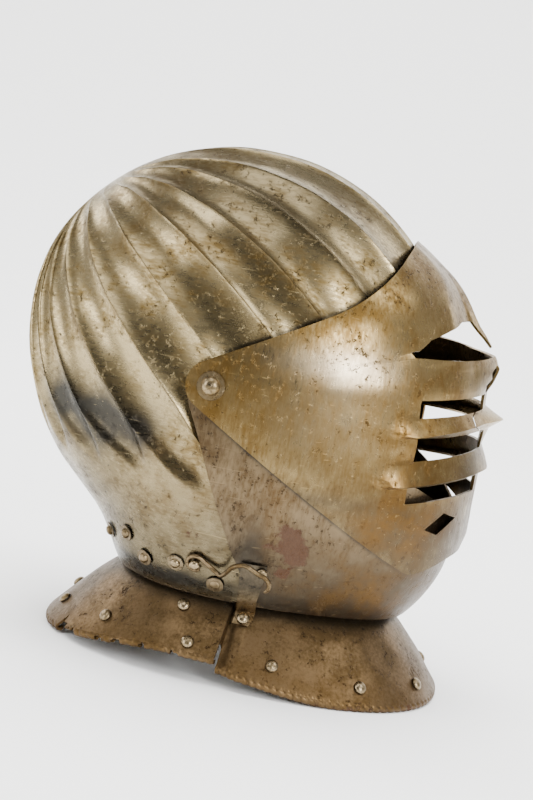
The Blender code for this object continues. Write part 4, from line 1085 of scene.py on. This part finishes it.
# %% Rivets on both sides, and the pivots
NECK_RIVETS = (
    # forward, drop, dome height
    (0.0220, 0.1160, 0.0007),
    (-0.0025, 0.1080, 0.0022),
    (-0.0215, 0.1110, 0.0022),
    (-0.0350, 0.1000, 0.0022),
    (-0.0463, 0.1045, 0.0022),
)
REAR_RIVETS = ((108.0, 0.84), (116.5, 0.22), (140.0, 0.70), (168.0, 0.74))
FRONT_RIVETS = ((18.0, 0.80), (44.0, 0.80), (76.0, 0.74), (91.0, 0.21))
DOME = 0.0030
NECK_WASHER = [(0.0052 * 0.97, 0.0), (0.0052, 0.0003), (0.0052 * 0.96, 0.0007), (DOME * 1.04, 0.0008)]
PIVOT_WASHER = [(0.0079, 0.0), (0.0082, 0.0004), (0.0079, 0.0010), (0.0056, 0.0011)]
RUBBED_NECK_RIVET = 2
for mark, sign in (("right", 1), ("left", -1)):
    for number, (forward, drop, height) in enumerate(NECK_RIVETS, 1):
        place, normal = form_place(forward, -drop, 0, mark == "right")
        outline = NECK_WASHER + [(r, 0.0008 + h) for r, h in dome_outline(DOME, height)][1:]
        node = f"neck_rivet_{mark}_{number}"
        steel = rivet_steel if number == RUBBED_NECK_RIVET else hook_steel
        foot = place + normal * (SEAT + 0.0003)
        piece = turned(node + "_head", foot, normal, outline, steel, wobble=0.03, seed=number)
        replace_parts(piece, node)
    for kind, rivets in (("rear", REAR_RIVETS), ("front", FRONT_RIVETS)):
        for number, (turn, share) in enumerate(rivets, 1):
            place, normal = gorget_place(sign * turn, share)
            node = f"{kind}_rivet_{mark}_{number}"
            on_strap = node == "front_rivet_right_4"
            lift = 4 * SEAT + STRAP_THICKNESS if on_strap else SEAT
            foot, outline = place + normal * (lift - 0.0001), dome_outline(0.0038, 0.0027)
            piece = turned(node + "_head", foot, normal, outline, rivet_steel, wobble=0.025, seed=number)
            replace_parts(piece, node)
    outside = HALF_WIDTH + 2 * LAYER + SEAT
    head = PIVOT_WASHER + [(r, 0.0010 + h) for r, h in dome_outline(0.0054, 0.0042)][1:]
    foot = (-sign * outside, PIVOT_BACK, PIVOT_HEIGHT)
    pivot = turned(f"pivot_{mark}_head", foot, (-sign, 0, 0), head, rivet_steel, 40, 0.012, 3)
    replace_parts(pivot, f"pivot_{mark}")

# %% [markdown]
# ## Studs, strap and hook
# A hook of forged wire turns on a stud on the skull, and its crook drops over a stud on the bevor to
# hold the helmet shut. A dark strap runs down from under that stud to the front neck plate. The hook
# could be a curve with a round bevel, but its ends are drawn thin, so an oval section is carried along
# the route by hand, and narrowed over the last part of either end.

# %% Two studs on short necks
HOOK_FORWARD, HOOK_RISE = 0.0092, -0.1043
CATCH_PLACE = (0.0472, -0.1016)
CATCH_FORWARD, CATCH_RISE = 0.0380, 0.0027
BAR_RADIUS, EYE_RADIUS, CROOK_RADIUS = 0.0014, 0.0047, 0.0072
STUD_RADIUS, STUD_HEIGHT = 0.0031, 0.0022
hook_place, hook_normal = form_place(HOOK_FORWARD, HOOK_RISE, 0)
catch_place, catch_normal = form_place(*CATCH_PLACE, 1)
on_strap = catch_place + catch_normal * (2 * SEAT + STRAP_THICKNESS)
studs = (
    # node, foot, direction, height of the neck
    ("hook_stud", hook_place + hook_normal * SEAT, hook_normal, 2 * BAR_RADIUS + 0.0012),
    ("bevor_stud", on_strap, catch_normal, 2 * SEAT),
)
for node, foot, normal, neck_height in studs:
    neck = [(0.0019, 0.0), (0.0018, neck_height)]
    head = [(r, neck_height + h) for r, h in dome_outline(STUD_RADIUS, STUD_HEIGHT)]
    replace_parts(turned(node + "_head", foot, normal, neck + head, rivet_steel, wobble=0.02), node)

# %% The strap: rows across it, from the bevor down to the gorget
STRAP_ON_BEVOR = ((0.0350, 0.0495, -0.0975), (0.0352, 0.0490, -0.1080), (0.0360, 0.0470, -0.1215))
STRAP_ON_GORGET = ((95.0, 86.0, 0.11), (95.0, 86.5, 0.20), (95.0, 88.0, 0.30))
rows = [(form_place(rear, z, 1), form_place(front, z, 1)) for rear, front, z in STRAP_ON_BEVOR]
rows += [(gorget_place(rear, share), gorget_place(front, share)) for rear, front, share in STRAP_ON_GORGET]
edge_pairs = []
for (rear, rear_normal), (front, front_normal) in rows:
    lift = SEAT + STRAP_THICKNESS
    arch = (rear_normal + front_normal) * SEAT
    edge_pairs.append((rear + rear_normal * lift, front + front_normal * lift, arch))
rear, front, bulge = (between(np.array(column, float), 5) for column in zip(*edge_pairs))
across = np.linspace(0, 1, 9)[None, :, None]
strap_points = rear[:, None] * (1 - across) + front[:, None] * across
strap_points = strap_points + 4 * across * (1 - across) * bulge[:, None]
strap_faces = grid_faces(*strap_points.shape[:2])
middle_line = (0.0, 0.0, PIVOT_HEIGHT)
strap = plate("strap_plate", strap_points, strap_faces, hook_steel, middle_line, STRAP_THICKNESS)
dirt_and_shade, stains_and_shade = 1.0 - low_down(strap, 0.046, 0.060), low_down(strap, 0.040, 0.052)
paint(strap, dark=0.75 * dirt_and_shade, rust=0.15, ochre=0.4 * stains_and_shade)
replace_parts(strap, "strap")


# %% The hook's route
def hook_line():
    """Centre line of the hook: an eye round its stud, an S-bend and the crook over the catch."""
    normal = hook_normal
    ahead = Vector((0.0, -1.0, 0.0))
    ahead = (ahead - normal * ahead.dot(normal)).normalized()
    up = normal.cross(ahead)
    up = -up if up.z < 0 else up
    flat = [(EYE_RADIUS * cos(t), EYE_RADIUS * sin(t)) for t in np.radians(np.arange(-50, -311, -26))]
    bend = ((0.30, -0.03), (0.42, -0.05), (0.50, 0.06), (0.585, 0.21), (0.68, 0.30), (0.80, 0.335))
    flat += [(x * CATCH_FORWARD, y * CATCH_FORWARD) for x, y in bend]
    for t in np.radians((88, 55, 22, -12, -45)):
        flat.append((CATCH_FORWARD + CROOK_RADIUS * cos(t), CATCH_RISE + 0.92 * CROOK_RADIUS * sin(t)))
    low = BAR_RADIUS + 2 * SEAT
    high = LAYER + STRAP_THICKNESS + STUD_HEIGHT + BAR_RADIUS + 0.0026
    route = []
    for x, y in flat:
        climb = smooth_step(np.array(x), 0.2 * CATCH_FORWARD, 0.75 * CATCH_FORWARD)
        rise = low + (high - low) * float(climb)
        route.append(hook_place + ahead * x + up * y + normal * rise)
    return np.array(route)


def smooth_route(route, split):
    """A curve through every point of a route: a cubic in t over each four neighbours."""
    padded = np.vstack([2 * route[0] - route[1], route, 2 * route[-1] - route[-2]])
    t = np.linspace(0, 1, split, endpoint=False)[:, None, None]
    a, b, c, d = (padded[k : len(padded) - 3 + k][None] for k in range(4))
    bend, twist = 2 * a - 5 * b + 4 * c - d, 3 * b - a - 3 * c + d
    curve = 0.5 * (2 * b + (c - a) * t + bend * t**2 + twist * t**3)
    return np.vstack([np.swapaxes(curve, 0, 1).reshape(-1, 3), route[-1:]])


# %% The hook
def forged_bar(name, route, normal, width, depth, material, sides=14):
    """Across times cos t plus out times sin t round a route, with both ends drawn thin."""
    ahead = np.gradient(route, axis=0)
    ahead /= np.linalg.norm(ahead, axis=1, keepdims=True)
    out = np.array(normal) - ahead * (ahead @ np.array(normal))[:, None]
    out /= np.linalg.norm(out, axis=1, keepdims=True)
    across = np.cross(ahead, out)
    along = np.linspace(0, 1, len(route))
    taper = np.clip(np.minimum(along, 1 - along) / 0.035, 0.0, 1.0) ** 0.5 * 0.55 + 0.45
    turn = np.linspace(0, 2 * pi, sides, endpoint=False)[None, :, None]
    ring = across[:, None] * np.cos(turn) * width + out[:, None] * np.sin(turn) * depth
    points = route[:, None] + ring * taper[:, None, None]
    piece = new_piece(name, points, tube_faces(len(route), sides), material)
    piece.data.shade_smooth()
    return piece


hook_route = smooth_route(hook_line(), 8)
hook = forged_bar("hook_bar", hook_route, hook_normal, BAR_RADIUS, BAR_RADIUS * 0.92, hook_steel)
paint(hook, dark=0.25, ochre=0.3)
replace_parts(hook, "hook")

# %% [markdown]
# ## Each piece rides on its body
# The front neck plate, its rivets and the strap are riveted to the bevor, so they swing up with it.
# What isn't named here belongs to the skull.

# %% Bodies
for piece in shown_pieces():
    if piece.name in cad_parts:
        continue
    if piece.name == "hook_bar":
        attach(piece, "hook")
    elif piece.name == "visor_plate":
        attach(piece, "visor")
    elif piece.name.startswith(("bevor", "gorget_front", "front_rivet", "strap")):
        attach(piece, "bevor")
    else:
        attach(piece, "skull")

# %% [markdown]
# ## Studio
# Polished steel shows what stands round it, so the lights are large and soft: a window in front of
# the wearer's right side for the bright patch on the cheek, another behind, and pale cards above.
# The paper sweeps up behind the helmet without a corner, and is darker towards the camera, because
# the underside would otherwise reflect white paper all over.

# %% White paper
paper = bpy.data.materials.new("matt_white_paper")
paper.use_nodes = True
tree, paper_shader = paper.node_tree, paper.node_tree.nodes["Principled BSDF"]
on_paper = {"Vector": add(tree, "TexCoord", {}, {}, "Object")}
towards = add(tree, "SeparateXYZ", {}, on_paper, "X")
lit_part = add(tree, "MapRange", SMOOTH, {0: towards, 1: -0.62, 2: -0.33})
paper_tone = add(tree, "Mix", BLEND, {0: lit_part, 6: linear("#77736c"), 7: linear("#fbfbfa")}, 2)
tree.links.new(paper_tone, paper_shader.inputs["Base Color"])
paper_shader.inputs["Roughness"].default_value = 0.9

SWEEP_START, SWEEP_RADIUS, HALF_PAPER = 1.2, 0.8, 4.0
bend = np.linspace(0, pi / 2, 25)
away = SWEEP_START + SWEEP_RADIUS * np.sin(bend)
aloft = SWEEP_RADIUS * (1.0 - np.cos(bend))
away = np.concatenate([[-HALF_PAPER], away, [SWEEP_START + SWEEP_RADIUS]])[:, None] * [1.0, 1.0]
aloft = np.concatenate([[0.0], aloft, [5.0]])[:, None] * [1.0, 1.0]
across = np.ones_like(away) * [-HALF_PAPER, HALF_PAPER]
paper_faces = grid_faces(len(away), 2)[:, ::-1]
backdrop = new_piece("paper_sweep", np.stack([away, across, aloft], axis=-1), paper_faces, paper)
backdrop.data.shade_smooth()


# %% Soft lights, the last one for the paper alone
def softbox(name, place, target, size, power):
    """A flat light at a place, turned to a target."""
    light = bpy.data.lights.new(name, "AREA")
    light.shape = "RECTANGLE"
    light.size, light.size_y = size
    light.energy = power
    lamp = bpy.data.objects.new(name, light)
    bpy.context.scene.collection.objects.link(lamp)
    lamp.location = place
    lamp.rotation_euler = (Vector(target) - Vector(place)).to_track_quat("-Z", "Y").to_euler()
    return lamp


LIGHTS = (
    # name, place, width and height, watts
    ("window_front", (-1.40, -1.05, 0.72), (0.7, 0.7), 27),
    ("window_rear", (-1.00, 1.35, 0.60), (0.6, 1.0), 12),
    ("above", (-0.5, 0.2, 1.6), (0.9, 1.6), 13),
    ("above_front", (-0.3, -1.0, 1.5), (0.7, 0.7), 8),
    ("far_rear", (0.7, 1.5, 1.0), (0.8, 0.8), 12),
    ("far_rim", (1.2, -1.2, 1.2), (0.6, 1.2), 5),
)
for name, place, size, power in LIGHTS:
    softbox(name, place, (0.0, 0.0, 0.15), size, power)
floor_light = softbox("floor_light", (0.5, 0.0, 2.6), (0.5, 0.0, 0.0), (3.0, 3.0), 190)
paper_only = bpy.data.collections.new("paper_only")
paper_only.objects.link(backdrop)
floor_light.light_linking.receiver_collection = paper_only

# %% The room: pale all round, darker behind the camera and overhead
world = bpy.data.worlds.new("studio")
world.use_nodes = True
bpy.context.scene.world = world
sky = world.node_tree
way = {"Vector": add(sky, "TexCoord", {}, {}, "Generated")}
along, aloft = (add(sky, "SeparateXYZ", {}, way, axis) for axis in "XZ")
before_us = add(sky, "MapRange", SMOOTH, {0: along, 1: -0.95, 2: 0.1})
overhead = add(sky, "MapRange", SMOOTH, {0: aloft, 1: 0.2, 2: 0.9})
not_overhead = add(sky, "Math", TIMES_PLUS, {0: overhead, 1: -0.6, 2: 1.0})
pale_share = add(sky, "Math", TIMES, {0: before_us, 1: not_overhead})
room_tone = add(sky, "Mix", BLEND, {0: pale_share, 6: linear("#5c5a56"), 7: linear("#f0f0f2")}, 2)
sky.links.new(room_tone, sky.nodes["Background"].inputs["Color"])
sky.nodes["Background"].inputs["Strength"].default_value = 0.9

# %% [markdown]
# ## Camera
# The photograph shows the right side, from a little in front and above, with the helmet tipped on its
# nose. The helmet stands level here and the camera is rolled instead. A long lens keeps the plates
# from looking stretched, as in the photograph.

# %% The camera, aimed at the middle of what is seen
AZIMUTH, ELEVATION, ROLL, AWAY = radians(-86.0), radians(8.5), radians(11.5), 1.4
toward = Vector((sin(AZIMUTH) * cos(ELEVATION), -cos(AZIMUTH) * cos(ELEVATION), sin(ELEVATION)))
level_right = Vector((cos(AZIMUTH), sin(AZIMUTH), 0.0))
level_up = toward.cross(level_right)
right = level_right * cos(ROLL) + level_up * sin(ROLL)
up = -level_right * sin(ROLL) + level_up * cos(ROLL)
seen_middle = Vector((0.0, PIVOT_BACK - 0.0245, PIVOT_HEIGHT - 0.0169))
camera_data = bpy.data.cameras.new("photo_view")
camera_data.sensor_fit = "VERTICAL"
camera_data.sensor_height = 36.0
camera_data.lens = 105.0
camera = bpy.data.objects.new("photo_view", camera_data)
bpy.context.scene.collection.objects.link(camera)
turned_to = Matrix((right, up, toward)).transposed().to_4x4()
camera.matrix_world = Matrix.Translation(seen_middle + toward * AWAY) @ turned_to
bpy.context.scene.camera = camera
print("camera", [round(v, 3) for v in camera.location])
